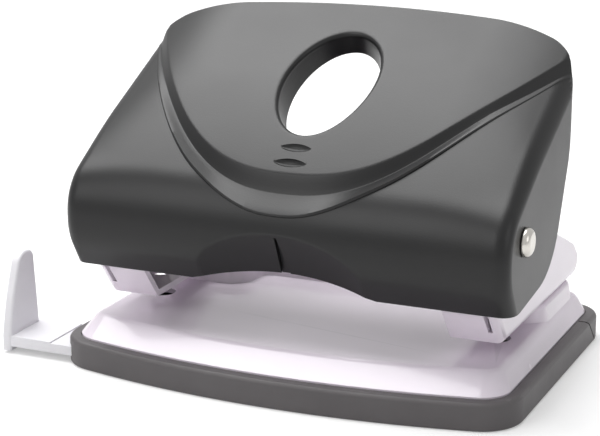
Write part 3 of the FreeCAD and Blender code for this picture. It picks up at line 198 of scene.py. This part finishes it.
given = wear_node("NodeGroupInput").outputs
result = wear_node("NodeGroupOutput").inputs
surface_place = wear_node("ShaderNodeTexCoord")
stretched = wear_node("ShaderNodeVectorMath", operation="MULTIPLY")
patches = wear_node("ShaderNodeTexNoise", (("Detail", PATCH_DETAIL), ("Roughness", PATCH_ROUGHNESS)))
grain = wear_node("ShaderNodeTexNoise", (("Detail", GRAIN_DETAIL),))
patch_cover = wear_range(PATCH_RANGE)
patch_share = wear_node("ShaderNodeMath", operation="MULTIPLY")
patched = wear_node("ShaderNodeMix", data_type="RGBA")
sharpness = wear_node("ShaderNodeNewGeometry")
edge_cover = wear_range(EDGE_RANGE)
edge_broken = wear_node("ShaderNodeMath", operation="MULTIPLY")
edge_share = wear_node("ShaderNodeMath", operation="MULTIPLY")
rubbed = wear_node("ShaderNodeMix", data_type="RGBA")
rough_offset = wear_node("ShaderNodeMath", ((1, NOISE_MIDDLE),), operation="SUBTRACT")
rough_swing = wear_node("ShaderNodeMath", operation="MULTIPLY_ADD")
for source, target in (
    (surface_place.outputs["Object"], stretched.inputs[0]),
    (given["Stretch"], stretched.inputs[1]),
    (stretched.outputs[0], patches.inputs["Vector"]),
    (given["Patch Scale"], patches.inputs["Scale"]),
    (stretched.outputs[0], grain.inputs["Vector"]),
    (given["Grain Scale"], grain.inputs["Scale"]),
    (patches.outputs["Fac"], patch_cover.inputs["Value"]),
    (patch_cover.outputs["Result"], patch_share.inputs[0]),
    (given["Patch Amount"], patch_share.inputs[1]),
    (patch_share.outputs[0], patched.inputs[0]),
    (given["Colour"], patched.inputs[6]),
    (given["Patch Colour"], patched.inputs[7]),
    (sharpness.outputs["Pointiness"], edge_cover.inputs["Value"]),
    (edge_cover.outputs["Result"], edge_broken.inputs[0]),
    (patch_cover.outputs["Result"], edge_broken.inputs[1]),
    (edge_broken.outputs[0], edge_share.inputs[0]),
    (given["Edge Amount"], edge_share.inputs[1]),
    (edge_share.outputs[0], rubbed.inputs[0]),
    (patched.outputs[2], rubbed.inputs[6]),
    (given["Edge Colour"], rubbed.inputs[7]),
    (rubbed.outputs[2], result["Colour"]),
    (patches.outputs["Fac"], rough_offset.inputs[0]),
    (rough_offset.outputs[0], rough_swing.inputs[0]),
    (given["Roughness Spread"], rough_swing.inputs[1]),
    (given["Roughness"], rough_swing.inputs[2]),
    (rough_swing.outputs[0], result["Roughness"]),
    (grain.outputs["Fac"], result["Height"]),
):
    worn_surface.links.new(source, target)


def worn_finish(name, wear, relief, plain=None):
    """A finish with the worn surface's values, its grain's relief, and plain values on the shader."""
    made = bpy.data.materials.new(name)
    made.use_nodes = True
    tree = made.node_tree
    shader = tree.nodes["Principled BSDF"]
    surface = tree.nodes.new("ShaderNodeGroup")
    surface.node_tree = worn_surface
    bump = tree.nodes.new("ShaderNodeBump")
    for holder, values in ((surface, {"Stretch": EVEN, **wear}), (bump, relief), (shader, plain or {})):
        for socket, value in values.items():
            holder.inputs[socket].default_value = value
    tree.links.new(surface.outputs["Colour"], shader.inputs["Base Color"])
    tree.links.new(surface.outputs["Roughness"], shader.inputs["Roughness"])
    tree.links.new(surface.outputs["Height"], bump.inputs["Height"])
    tree.links.new(bump.outputs["Normal"], shader.inputs["Normal"])
    return made


def finished(node, finish, corner, body):
    """A copy of a node with clean flats, smooth curves and broken corners, which stands for it."""
    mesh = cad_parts[node].data.copy()
    mesh.materials.clear()
    form = bmesh.new()
    form.from_mesh(mesh)
    bmesh.ops.remove_doubles(form, verts=form.verts, dist=MERGE_REACH)
    bmesh.ops.dissolve_limit(form, angle_limit=FLAT_ANGLE, verts=form.verts, edges=form.edges)
    for face in form.faces:
        face.smooth = True
    for edge in form.edges:
        edge.smooth = edge.calc_face_angle(0) < CREASE
    form.to_mesh(mesh)
    form.free()
    mesh.materials.append(finish)
    piece = bpy.data.objects.new(node + "_finished", mesh)
    scene.collection.objects.link(piece)
    rounding = piece.modifiers.new("corners", "BEVEL")
    rounding.width = corner
    rounding.segments = CORNER_SEGMENTS
    rounding.limit_method = "ANGLE"
    rounding.angle_limit = CREASE
    shading = piece.modifiers.new("shading", "WEIGHTED_NORMAL")
    shading.keep_sharp = True
    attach(piece, body)
    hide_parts(node)


tray_plastic = worn_finish(
    "tray_plastic",
    {"Colour": TRAY_GREY, "Patch Colour": TRAY_DARK, "Edge Colour": TRAY_RUBBED, "Patch Amount": 0.5,
     "Edge Amount": 0.55, "Patch Scale": 70, "Grain Scale": 2600, "Roughness": 0.5,
     "Roughness Spread": 0.2},
    {"Strength": 0.28, "Distance": 0.06 * MM},
)
finished("chip_tray", tray_plastic, MOULD_CORNER, "tray")
finished("tray_heel", tray_plastic, MOULD_CORNER, "base")

# Paper guide
# A flat slide moulded of pale satin plastic. It runs in a channel of the tray and pulls out of the
# tray's left end, and the upright fin at its outer end is the stop for the sheet's edge.
GUIDE_WHITE = (0.8, 0.79, 0.82, 1)
GUIDE_DULL = (0.75, 0.74, 0.78, 1)
GUIDE_RUBBED = (0.86, 0.85, 0.88, 1)
guide_plastic = worn_finish(
    "guide_plastic",
    {"Colour": GUIDE_WHITE, "Patch Colour": GUIDE_DULL, "Edge Colour": GUIDE_RUBBED, "Patch Amount": 0.5,
     "Edge Amount": 0.5, "Patch Scale": 60, "Grain Scale": 2200, "Roughness": 0.42,
     "Roughness Spread": 0.18},
    {"Strength": 0.2, "Distance": 0.05 * MM},
)
finished("paper_guide", guide_plastic, MOULD_CORNER, "guide")

# Base plate and punch brackets
# Pressed and folded sheet steel under a thick glossy enamel, white with a breath of lilac. The brackets
# are riveted to the plate's raised back and carry the pins and the lever's pivots.
ENAMEL_WHITE = (0.88, 0.805, 0.89, 1)
ENAMEL_DULL = (0.85, 0.775, 0.865, 1)
ENAMEL_CHIPPED = (0.6, 0.57, 0.62, 1)
SHEET_CORNER = 0.2 * MM
enamel = worn_finish(
    "enamel",
    {"Colour": ENAMEL_WHITE, "Patch Colour": ENAMEL_DULL, "Edge Colour": ENAMEL_CHIPPED,
     "Patch Amount": 0.4, "Edge Amount": 0.3, "Patch Scale": 30, "Grain Scale": 420, "Roughness": 0.26,
     "Roughness Spread": 0.06},
    {"Strength": 0.1, "Distance": 0.06 * MM},
    {"Coat Weight": 0.4, "Coat Roughness": 0.08},
)
for node in ("base_plate", "left_punch_bracket", "right_punch_bracket"):
    finished(node, enamel, SHEET_CORNER, "base")

# Steel pieces
# Rivets, pins, washers, clips, screws and the press plate, turned or stamped of steel. The press plate
# is screwed to the cover's bosses, and each pin runs in its bracket under it.
STEEL_GREY = (0.56, 0.55, 0.54, 1)
STEEL_DARK = (0.43, 0.42, 0.41, 1)
STEEL_RUBBED = (0.68, 0.67, 0.65, 1)
STEEL_DRAWN = (1, 1, 0.12)
STEEL_CORNER = 0.1 * MM
STEEL_PIECES = {"lever_press_plate": "lever", "press_plate_screws": "lever"}
for side in ("left", "right"):
    STEEL_PIECES[side + "_bracket_rivets"] = "base"
    STEEL_PIECES[side + "_pivot_retainer"] = "base"
    for part in ("punch_pin", "spring_washer", "retaining_clip"):
        STEEL_PIECES[side + "_" + part] = side + "_punch"
steel = worn_finish(
    "steel",
    {"Colour": STEEL_GREY, "Patch Colour": STEEL_DARK, "Edge Colour": STEEL_RUBBED, "Patch Amount": 0.7,
     "Edge Amount": 0.6, "Patch Scale": 900, "Grain Scale": 6000, "Roughness": 0.32,
     "Roughness Spread": 0.25, "Stretch": STEEL_DRAWN},
    {"Strength": 0.2, "Distance": 0.03 * MM},
    {"Metallic": 1.0},
)
for node, body in STEEL_PIECES.items():
    finished(node, steel, STEEL_CORNER, body)

# Return springs
# Round steel wire wound round each punch pin: its foot stands on the bracket, and its head goes down
# with the pin's washer, so that it is squeezed between the two.
for side in ("left", "right"):
    node = side + "_punch_spring"
    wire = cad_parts[node].data.copy()
    wire.materials.clear()
    form = bmesh.new()
    form.from_mesh(wire)
    bmesh.ops.remove_doubles(form, verts=form.verts, dist=MERGE_REACH)
    for face in form.faces:
        face.smooth = True
    form.to_mesh(wire)
    form.free()
    wire.materials.append(steel)
    spring = bpy.data.objects.new(node + "_finished", wire)
    scene.collection.objects.link(spring)
    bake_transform(spring)
    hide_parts(node)

# Lever cover
# A hood of satin black plastic, moulded in one piece about the pivot's axis: a raised panel with a
# steep wall and a ledge round its front, an oval finger hole with a collar, and a scooped lip.
COVER_BLACK = (0.005, 0.005, 0.0054, 1)
COVER_DULL = (0.0075, 0.0073, 0.0077, 1)
COVER_RUBBED = (0.028, 0.028, 0.029, 1)

# Its sizes are in millimetres, and its places are depths and heights from the pivot.
PIVOT = Vector((0, -20.7, 36.7))
COVER_REACH = 50.0
COVER_EDGE = 3.0
COVER_SKIN = 2.3
LIP = (-6.6, -14.3)
NOSE = -10.9
CHIN_HEIGHT = -7.2
CHIN_ROUND = 13.0
BROW_HEIGHT = 4.3
BROW_ROUND = 16.0
CROWN = (6.6, 19.0)
CROWN_ROUND = 125.0
REAR = (45.7, 38.3)
PANEL_FRONT = (-6.8, 8.6)
PANEL_CROWN = (7.7, 20.4)
PANEL_REAR = (44.8, 39.8)
UNDERSIDE = [(45.7, 25.1), (34.9, 24.4), (30.9, 11.3, 60.0), (20.6, -11.8, 16.0), (-1.9, -14.3)]
CAMBER_START = 29.1
CAMBER_RADIUS = 50.0
CAMBER_RUN = 16.5
REAR_CORNER = 7.0
REAR_APEX = 41.94
REAR_BOW = 270.0
REAR_GAP_HALF = 36.0
REAR_GAP_RAMP = 2.0
REAR_GAP_HEIGHT = 29.5

# The wall's top sweeps back to the rear corners, with its foot and the ledge in front of it
PANEL_REACH = 47.0
WALL_TOP = -4.9
WALL_SWEEP = 38.0
WALL_POWER = 2.5
WALL_LEAN = 1.3
WALL_DROP = 4.0
SINK_REACH = 0.8
FOOT_ROUND = 0.15
PANEL_ROUND = 0.45
LEDGE_WIDTH = 3.5
LEDGE_TAPER_SHARE = 0.7
LEDGE_PROUD = 0.6
LEDGE_LEAST_SHARE = 0.25
LEDGE_STEP = 0.9
LEDGE_STEP_RUN = 0.6

# The lip's arch, and the hollow scoop that leans in under the nose
ARCH_RISE = 2.9
ARCH_RADIUS = 77.5
ARCH_HALF = 40.0
SCOOP_RADIUS = 55.0
SCOOP_TOP = -1.3
SCOOP_SINK = 4.2
scoop_drop = SCOOP_TOP - LIP[1] - ARCH_RISE
scoop_lean = math.atan2(SCOOP_SINK + (LIP[0] - NOSE) / 2, scoop_drop)
scoop_length = scoop_drop / math.cos(scoop_lean)

# How finely the hood is drawn
FRONT_ROWS = 50
STEP_ROWS = 3
LEDGE_ROWS = 3
WALL_ROWS = 3
PANEL_ROWS = 36
REAR_ROWS = 5
EDGE_COLUMNS = 7
COLUMN_PITCH = 0.5
SKIN_STEP = 0.35
UNDERSIDE_STEP = 2.0
ARC_LEAST = 3
TANGENT_REACH = 0.5
EDGE_NEIGHBOUR = 2
TOP_RUN = Vector((1, 0.5))
OVERRUN = 1.0
TIP_REACH = 0.05
RIM_REACH = 1e-6
HOOD_MERGE = 1e-4
CUTTER_MERGE = 1e-5


def rounded_path(corners, step=SKIN_STEP):
    """Points along a line of corners (depth, height) or (depth, height, radius of an arc)."""
    points = []
    for index, corner in enumerate(corners):
        spot = Vector(corner[:2])
        if len(corner) == 2:
            points.append(spot)
            continue
        into = (spot - Vector(corners[index - 1][:2])).normalized()
        away = (Vector(corners[index + 1][:2]) - spot).normalized()
        turn = into.angle_signed(away)
        start = spot - into * corner[2] * math.tan(abs(turn) / 2)
        count = max(ARC_LEAST, int(corner[2] * abs(turn) / step))
        side = -1 if turn > 0 else 1
        centre = start + Vector((-into.y, into.x)) * corner[2] * side
        spoke = start - centre
        for number in range(count + 1):
            angle = -turn * number / count
            points.append(centre + Vector((
                spoke.x * math.cos(angle) - spoke.y * math.sin(angle),
                spoke.x * math.sin(angle) + spoke.y * math.cos(angle),
            )))
    return points


def on_path(points, far):
    """The place on a line at a distance along it."""
    for first, second in zip(points, points[1:]):
        length = (second - first).length
        if far <= length and length > 0:
            return first.lerp(second, far / length)
        far -= length
    return points[-1]


def reach_of(points, wanted):
    """Distance along a line to the first place where a measure turns from below zero to zero."""
    far = 0.0
    for first, second in zip(points, points[1:]):
        length = (second - first).length
        if wanted(second) >= 0 > wanted(first):
            return far + length * wanted(first) / (wanted(first) - wanted(second))
        far += length
    return far


def camber_fall(x):
    """How far the top has fallen at a distance from the middle."""
    out = abs(x) - CAMBER_START
    if out <= 0:
        return 0.0
    bend = min(out, CAMBER_RUN)
    drop = CAMBER_RADIUS - math.sqrt(CAMBER_RADIUS ** 2 - bend ** 2)
    return drop + (out - bend) * bend / (CAMBER_RADIUS - drop)


def skin_path(x):
    """The hood's outline from its lip over chin, brow and crown to its rear."""
    fall = camber_fall(x)
    chin = (NOSE, CHIN_HEIGHT, CHIN_ROUND)
    brow = (NOSE, BROW_HEIGHT, BROW_ROUND - fall)
    crown = (CROWN[0], CROWN[1] - fall, CROWN_ROUND)
    return rounded_path([LIP, chin, brow, crown, (REAR[0], REAR[1] - fall)])


panel_path = rounded_path([PANEL_FRONT, PANEL_CROWN + (CROWN_ROUND,), PANEL_REAR])
underside_path = rounded_path(UNDERSIDE, UNDERSIDE_STEP)


def panel_height(x, depth):
    """Height of the raised panel."""
    far = reach_of(panel_path, lambda spot: spot.x - depth)
    return on_path(panel_path, far).y - camber_fall(x)


def scooped(x, spot):
    """A point of the front, drawn back on to the scoop where it stands in front of it."""
    hollow = SCOOP_RADIUS - math.sqrt(max(0.0, SCOOP_RADIUS ** 2 - x ** 2))
    depth = NOSE + ((SCOOP_TOP - spot.y) * math.sin(scoop_lean) - hollow) / math.cos(scoop_lean)
    return Vector((max(spot.x, depth), spot.y))


def lip_height(x):
    """Height of the lip, which is arched in the middle."""
    fall = ARCH_RADIUS - math.sqrt(ARCH_RADIUS ** 2 - min(abs(x), ARCH_HALF) ** 2)
    return LIP[1] + max(0.0, ARCH_RISE - fall)


def rear_depth(x):
    """Depth of the rear face: a long bow with a round corner at each side."""
    out = max(0.0, abs(x) - (COVER_REACH - REAR_CORNER))
    corner = REAR_CORNER - math.sqrt(max(0.0, REAR_CORNER ** 2 - out ** 2))
    return REAR_APEX - x ** 2 / (REAR_BOW * 2) - corner


def rear_foot(x, depth):
    """Height at which the rear wall ends: low at the corners, higher behind the finger hole."""
    low = on_path(underside_path, reach_of(underside_path, lambda spot: depth - spot.x)).y
    gap = min(1.0, max(0.0, (REAR_GAP_HALF + REAR_GAP_RAMP - abs(x)) / REAR_GAP_RAMP))
    return low + (max(low, REAR_GAP_HEIGHT) - low) * gap


def past(depth):
    """The measure of a point of the skin past a depth, above the front's upright part."""
    return lambda spot: spot.x - depth if spot.y > BROW_HEIGHT - BROW_ROUND / 2 else -1.0


def column_of(x):
    """One line of the skin, from its lip over the ledge, the wall and the panel to past its rear."""
    share = abs(x) / PANEL_REACH
    skin = skin_path(x)
    top = WALL_TOP + WALL_SWEEP * share ** WALL_POWER
    slant = WALL_SWEEP * WALL_POWER * share ** (WALL_POWER - 1) / PANEL_REACH
    foot = top - WALL_LEAN * math.sqrt(1 + slant ** 2)
    ledge = foot - LEDGE_WIDTH * (1 - LEDGE_TAPER_SHARE * min(1.0, share) ** 3)
    proud = LEDGE_PROUD * max(LEDGE_LEAST_SHARE, 1 - share ** 4)

    lip_far = reach_of(skin, lambda spot: spot.y - lip_height(x))
    edge_far = reach_of(skin, past(ledge))
    step_foot = edge_far - LEDGE_STEP
    points = []
    for row in range(FRONT_ROWS + 1):
        spot = on_path(skin, lip_far + (step_foot - lip_far) * row / FRONT_ROWS)
        points.append(scooped(x, spot))
    along = on_path(skin, edge_far + TANGENT_REACH) - on_path(skin, edge_far - TANGENT_REACH)
    out = Vector((-along.y, along.x)).normalized()
    for row in range(1, STEP_ROWS + 1):
        turn = math.pi / 2 * row / STEP_ROWS
        spot = on_path(skin, step_foot + LEDGE_STEP_RUN * (1 - math.cos(turn)))
        points.append(spot + out * proud * math.sin(turn))

    edge = points[-1]
    head = Vector((top, panel_height(x, top)))
    skin_foot = on_path(skin, reach_of(skin, past(foot))).y
    sink = max(0.0, skin_foot - head.y + WALL_DROP) * max(0.0, 1 - (share / SINK_REACH) ** 2)
    base = Vector((foot, skin_foot - sink))
    wall = (head - base).normalized()
    ledge_end = base + (edge - base).normalized() * FOOT_ROUND
    for row in range(1, LEDGE_ROWS + 1):
        points.append(edge.lerp(ledge_end, row / LEDGE_ROWS))
    wall_foot = base + wall * FOOT_ROUND
    wall_head = head - wall * PANEL_ROUND
    for row in range(WALL_ROWS + 1):
        points.append(wall_foot.lerp(wall_head, row / WALL_ROWS))

    start = top + PANEL_ROUND
    crest = Vector((start, panel_height(x, start)))
    points.append(head.lerp((wall_head + crest) / 2, 0.5))
    for row in range(PANEL_ROWS + 1):
        depth = start + (REAR_APEX + OVERRUN - start) * row / PANEL_ROWS
        points.append(Vector((depth, panel_height(x, depth))))
    return points


def set_in(line, inset):
    """A line of the rounded side edge, drawn in from the skin and brought down to the lip."""
    moved = []
    for index, point in enumerate(line):
        before = line[max(0, index - EDGE_NEIGHBOUR)]
        after = line[min(len(line) - 1, index + EDGE_NEIGHBOUR)]
        along = TOP_RUN if index > FRONT_ROWS else after - before
        moved.append(point - Vector((-along.y, along.x)).normalized() * inset)
    lip_run = moved[0] - moved[1]
    moved[0] = moved[0] + lip_run * ((LIP[1] - moved[0].y) / lip_run.y)
    return moved


def cut_at(points, depth):
    """A line whose points beyond a depth are all drawn in to where it crosses that depth."""
    kept = []
    for point in points:
        if kept and point.x > depth:
            before = kept[-1]
            if before.x < depth:
                point = before.lerp(point, (depth - before.x) / (point.x - before.x))
            else:
                point = before.copy()
        kept.append(point)
    return kept


# The skin is a grid whose columns lie side by side over the hood and round its side edges
flat_reach = COVER_REACH - COVER_EDGE
flat_count = round(flat_reach / COLUMN_PITCH)
columns = [(flat_reach * number / flat_count, 0.0) for number in range(-flat_count, flat_count + 1)]
for number in range(1, EDGE_COLUMNS + 1):
    turn = math.pi / 2 * number / EDGE_COLUMNS
    x = flat_reach + COVER_EDGE * math.sin(turn)
    inset = COVER_EDGE * (1 - math.cos(turn))
    columns.append((x, inset))
    columns.insert(0, (-x, inset))
rows = FRONT_ROWS + 1 + STEP_ROWS + LEDGE_ROWS + WALL_ROWS + 2 + PANEL_ROWS + 1 + REAR_ROWS
hood = bmesh.new()
bmesh.ops.create_grid(hood, x_segments=len(columns) - 1, y_segments=rows - 1, size=1)
hood.verts.ensure_lookup_table()
for number, (x, inset) in enumerate(columns):
    line = column_of(x)
    if inset:
        line = set_in(line, inset)
    depth = rear_depth(x)
    line = cut_at(line, depth)
    end = line[-1]
    low = rear_foot(x, depth)
    for row in range(1, REAR_ROWS + 1):
        line.append(Vector((end.x, end.y + (low - end.y) * row / REAR_ROWS)))
    for row, point in enumerate(line):
        hood.verts[row * len(columns) + number].co = (x, point.x, point.y)

# Each side is one flat wall between the rounded edge and the underside's outline
for side in (-1, 1):
    rim = [vert for vert in hood.verts if abs(vert.co.x - COVER_REACH * side) < RIM_REACH]
    limit = rim[-1].co.y - TIP_REACH
    under = [spot for spot in underside_path if spot.x < limit]
    under = [hood.verts.new((COVER_REACH * side, spot.x, spot.y)) for spot in under]
    loop = rim + under
    hood.faces.new(loop if side > 0 else list(reversed(loop)))
bmesh.ops.remove_doubles(hood, verts=hood.verts, dist=HOOD_MERGE)
bmesh.ops.recalc_face_normals(hood, faces=hood.faces)


def hood_part(form, name):
    """A mesh object from a form that was drawn about the pivot in millimetres."""
    for vert in form.verts:
        vert.co = (vert.co + PIVOT) * MM
    mesh = bpy.data.meshes.new(name)
    form.to_mesh(mesh)
    form.free()
    made = bpy.data.objects.new(name, mesh)
    scene.collection.objects.link(made)
    return made


cover = hood_part(hood, "hood")
thickness = cover.modifiers.new("wall", "SOLIDIFY")
thickness.thickness = COVER_SKIN * MM
thickness.offset = -1

# Finger hole: the rise from the panel's surface along its axis, and the ellipse's growth there
OVAL_CENTRE = Vector((0, 18.1, 25.05))
OVAL_SLOPE = math.radians(31)
OVAL_HALF = (10.15, 16.8)
OVAL_SIDES = 128
OVAL_CUT = [
    (-14, 0.0), (-1.2, 0.0), (-0.85, 0.06), (-0.55, 0.18), (-0.3, 0.38), (-0.1, 0.68), (0.0, 1.05),
    (0.05, 1.5), (3.0, 7.0),
]
OVAL_COLLAR = [(-1.2, 0.01), (-5.4, -0.7), (-5.6, -0.5), (-5.6, 1.5), (-5.3, 1.8), (-1.3, 1.8)]
OVAL_NEAR = -3.0
oval_turn = Matrix.Rotation(OVAL_SLOPE, 3, "X")


def oval_stack(levels, hollow):
    """Ellipses about the finger hole's axis, joined to a tube that is hollow or capped at both ends."""
    form = bmesh.new()
    bmesh.ops.create_grid(form, x_segments=OVAL_SIDES, y_segments=len(levels) - 1, size=1)
    for index, vert in enumerate(form.verts):
        rise, growth = levels[index // (OVAL_SIDES + 1)]
        turn = math.tau * (index % (OVAL_SIDES + 1)) / OVAL_SIDES
        across = math.cos(turn) * (OVAL_HALF[0] + growth)
        up = math.sin(turn) * (OVAL_HALF[1] + growth)
        vert.co = (across, up, rise)
    bmesh.ops.remove_doubles(form, verts=form.verts, dist=HOOD_MERGE)
    if hollow:
        bmesh.ops.bridge_loops(form, edges=[edge for edge in form.edges if edge.is_boundary])
    else:
        bmesh.ops.holes_fill(form, edges=form.edges, sides=0)
    bmesh.ops.recalc_face_normals(form, faces=form.faces)
    for vert in form.verts:
        near = vert.co.z > OVAL_NEAR
        vert.co = oval_turn @ vert.co + OVAL_CENTRE
        if near:
            plane = OVAL_CENTRE.z + (vert.co.y - OVAL_CENTRE.y) * math.tan(OVAL_SLOPE)
            vert.co.z += panel_height(vert.co.x, vert.co.y) - plane
    return form


# Two almond dimples in front of the hole, and the groove down the middle of the scoop
DIMPLES = [(0.2, 14.7), (-2.9, 12.1)]
DIMPLE_HALF = 4.2
DIMPLE_GIRTH = 1.15
DIMPLE_SIDES = 24
DIMPLE_RINGS = 32
SEAM_TOP = 1.2
SEAM_TOP_HALF = 0.25
SEAM_FOOT_HALF = 1.43
SEAM_OVERRUN_SHARE = 1.4
SEAM_DEPTH = 0.9
SEAM_CLEAR = 3.0
small = bmesh.new()
for depth, height in DIMPLES:
    almond = bmesh.ops.create_uvsphere(
        small, u_segments=DIMPLE_SIDES, v_segments=DIMPLE_RINGS, radius=1)["verts"]
    for vert in almond:
        along = vert.co.z
        girth = DIMPLE_GIRTH * math.sqrt(max(0.0, 1 - along ** 2))
        vert.co = (along * DIMPLE_HALF, vert.co.x * girth + depth, vert.co.y * girth + height)
scoop_turn = Matrix.Rotation(math.pi / 2 + scoop_lean, 3, "X")
scoop_start = Vector((0, NOSE, SCOOP_TOP))
for vert in bmesh.ops.create_cube(small, size=1)["verts"]:
    low = vert.co.y < 0
    half = SEAM_FOOT_HALF if low else SEAM_TOP_HALF
    down = -scoop_length * SEAM_OVERRUN_SHARE if low else -SEAM_TOP
    out = SEAM_CLEAR if vert.co.z > 0 else -SEAM_DEPTH
    vert.co = scoop_turn @ Vector((math.copysign(half, vert.co.x), down, out)) + scoop_start
bmesh.ops.remove_doubles(small, verts=small.verts, dist=CUTTER_MERGE)
bmesh.ops.recalc_face_normals(small, faces=small.faces)

cutters = [hood_part(oval_stack(OVAL_CUT, False), "oval_cut"), hood_part(small, "small_cuts")]
for cutter in cutters:
    cut = cover.modifiers.new(cutter.name, "BOOLEAN")
    cut.operation = "DIFFERENCE"
    cut.solver = "EXACT"
    cut.object = cutter
ready = cover.evaluated_get(bpy.context.evaluated_depsgraph_get())
cover_mesh = bpy.data.meshes.new_from_object(ready)
cover.modifiers.clear()
cover.data = cover_mesh
for cutter in cutters:
    bpy.data.objects.remove(cutter)

# Joined to the hood: the hole's collar, two screw bosses, and the small tab under the groove
BOSSES = [(-25.0, 15.3), (25.0, 15.3)]
BOSS_RADIUS = 3.2
BOSS_SIDES = 48
BOSS_FOOT = 1.6
BOSS_HEAD = 22.0
TAB_HALF = 1.4
TAB_DROP = 0.9
TAB_ROOT = 3.0
TAB_GAP = 0.05
TAB_BACK = 1.0
COVER_CREASE = math.radians(48)
COVER_MERGE = 0.001 * MM
extras = oval_stack(OVAL_COLLAR, True)
for x, depth in BOSSES:
    boss = bmesh.ops.create_cone(
        extras, cap_ends=True, segments=BOSS_SIDES, radius1=BOSS_RADIUS, radius2=BOSS_RADIUS, depth=1)
    for vert in boss["verts"]:
        vert.co += Vector((x, depth, 0))
        vert.co.z = BOSS_FOOT if vert.co.z < 0 else BOSS_HEAD
for vert in bmesh.ops.create_cube(extras, size=1)["verts"]:
    down = -scoop_length - TAB_DROP if vert.co.y < 0 else -scoop_length + TAB_ROOT
    out = -SEAM_DEPTH - (TAB_GAP if vert.co.z > 0 else TAB_BACK)
    across = math.copysign(TAB_HALF, vert.co.x)
    vert.co = scoop_turn @ Vector((across, down, out)) + scoop_start
inside = hood_part(extras, "inside")
joined = bmesh.new()
joined.from_mesh(cover.data)
bmesh.ops.remove_doubles(joined, verts=joined.verts, dist=COVER_MERGE)
bmesh.ops.dissolve_degenerate(joined, edges=joined.edges, dist=COVER_MERGE)
joined.from_mesh(inside.data)
bpy.data.objects.remove(inside)
for face in joined.faces:
    face.smooth = True
for edge in joined.edges:
    edge.smooth = edge.calc_face_angle(0) < COVER_CREASE
joined.to_mesh(cover.data)
joined.free()
shading = cover.modifiers.new("shading", "WEIGHTED_NORMAL")
shading.keep_sharp = True
cover_plastic = worn_finish(
    "cover_plastic",
    {"Colour": COVER_BLACK, "Patch Colour": COVER_DULL, "Edge Colour": COVER_RUBBED, "Patch Amount": 0.6,
     "Edge Amount": 0.45, "Patch Scale": 45, "Grain Scale": 3000, "Roughness": 0.36,
     "Roughness Spread": 0.12},
    {"Strength": 0.3, "Distance": 0.05 * MM},
    {"Specular IOR Level": 0.38},
)
cover.data.materials.clear()
cover.data.materials.append(cover_plastic)
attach(cover, "lever")
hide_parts("lever_cover")

# Pivot pins
# Turned pins, bright as nickel plate, whose domed heads show on the cover's sides. Each goes through
# the cover, a bracket and an ear of the press plate, and a push-on washer holds it on the inside.
NICKEL = (0.6, 0.58, 0.54, 1)
NICKEL_DULL = (0.5, 0.48, 0.45, 1)
NICKEL_RUBBED = (0.72, 0.7, 0.66, 1)
nickel = worn_finish(
    "nickel",
    {"Colour": NICKEL, "Patch Colour": NICKEL_DULL, "Edge Colour": NICKEL_RUBBED, "Patch Amount": 0.5,
     "Edge Amount": 0.4, "Patch Scale": 700, "Grain Scale": 5000, "Roughness": 0.18,
     "Roughness Spread": 0.14},
    {"Strength": 0.1, "Distance": 0.03 * MM},
    {"Metallic": 1.0},
)
for side in ("left", "right"):
    finished(side + "_pivot_pin", nickel, STEEL_CORNER, "base")
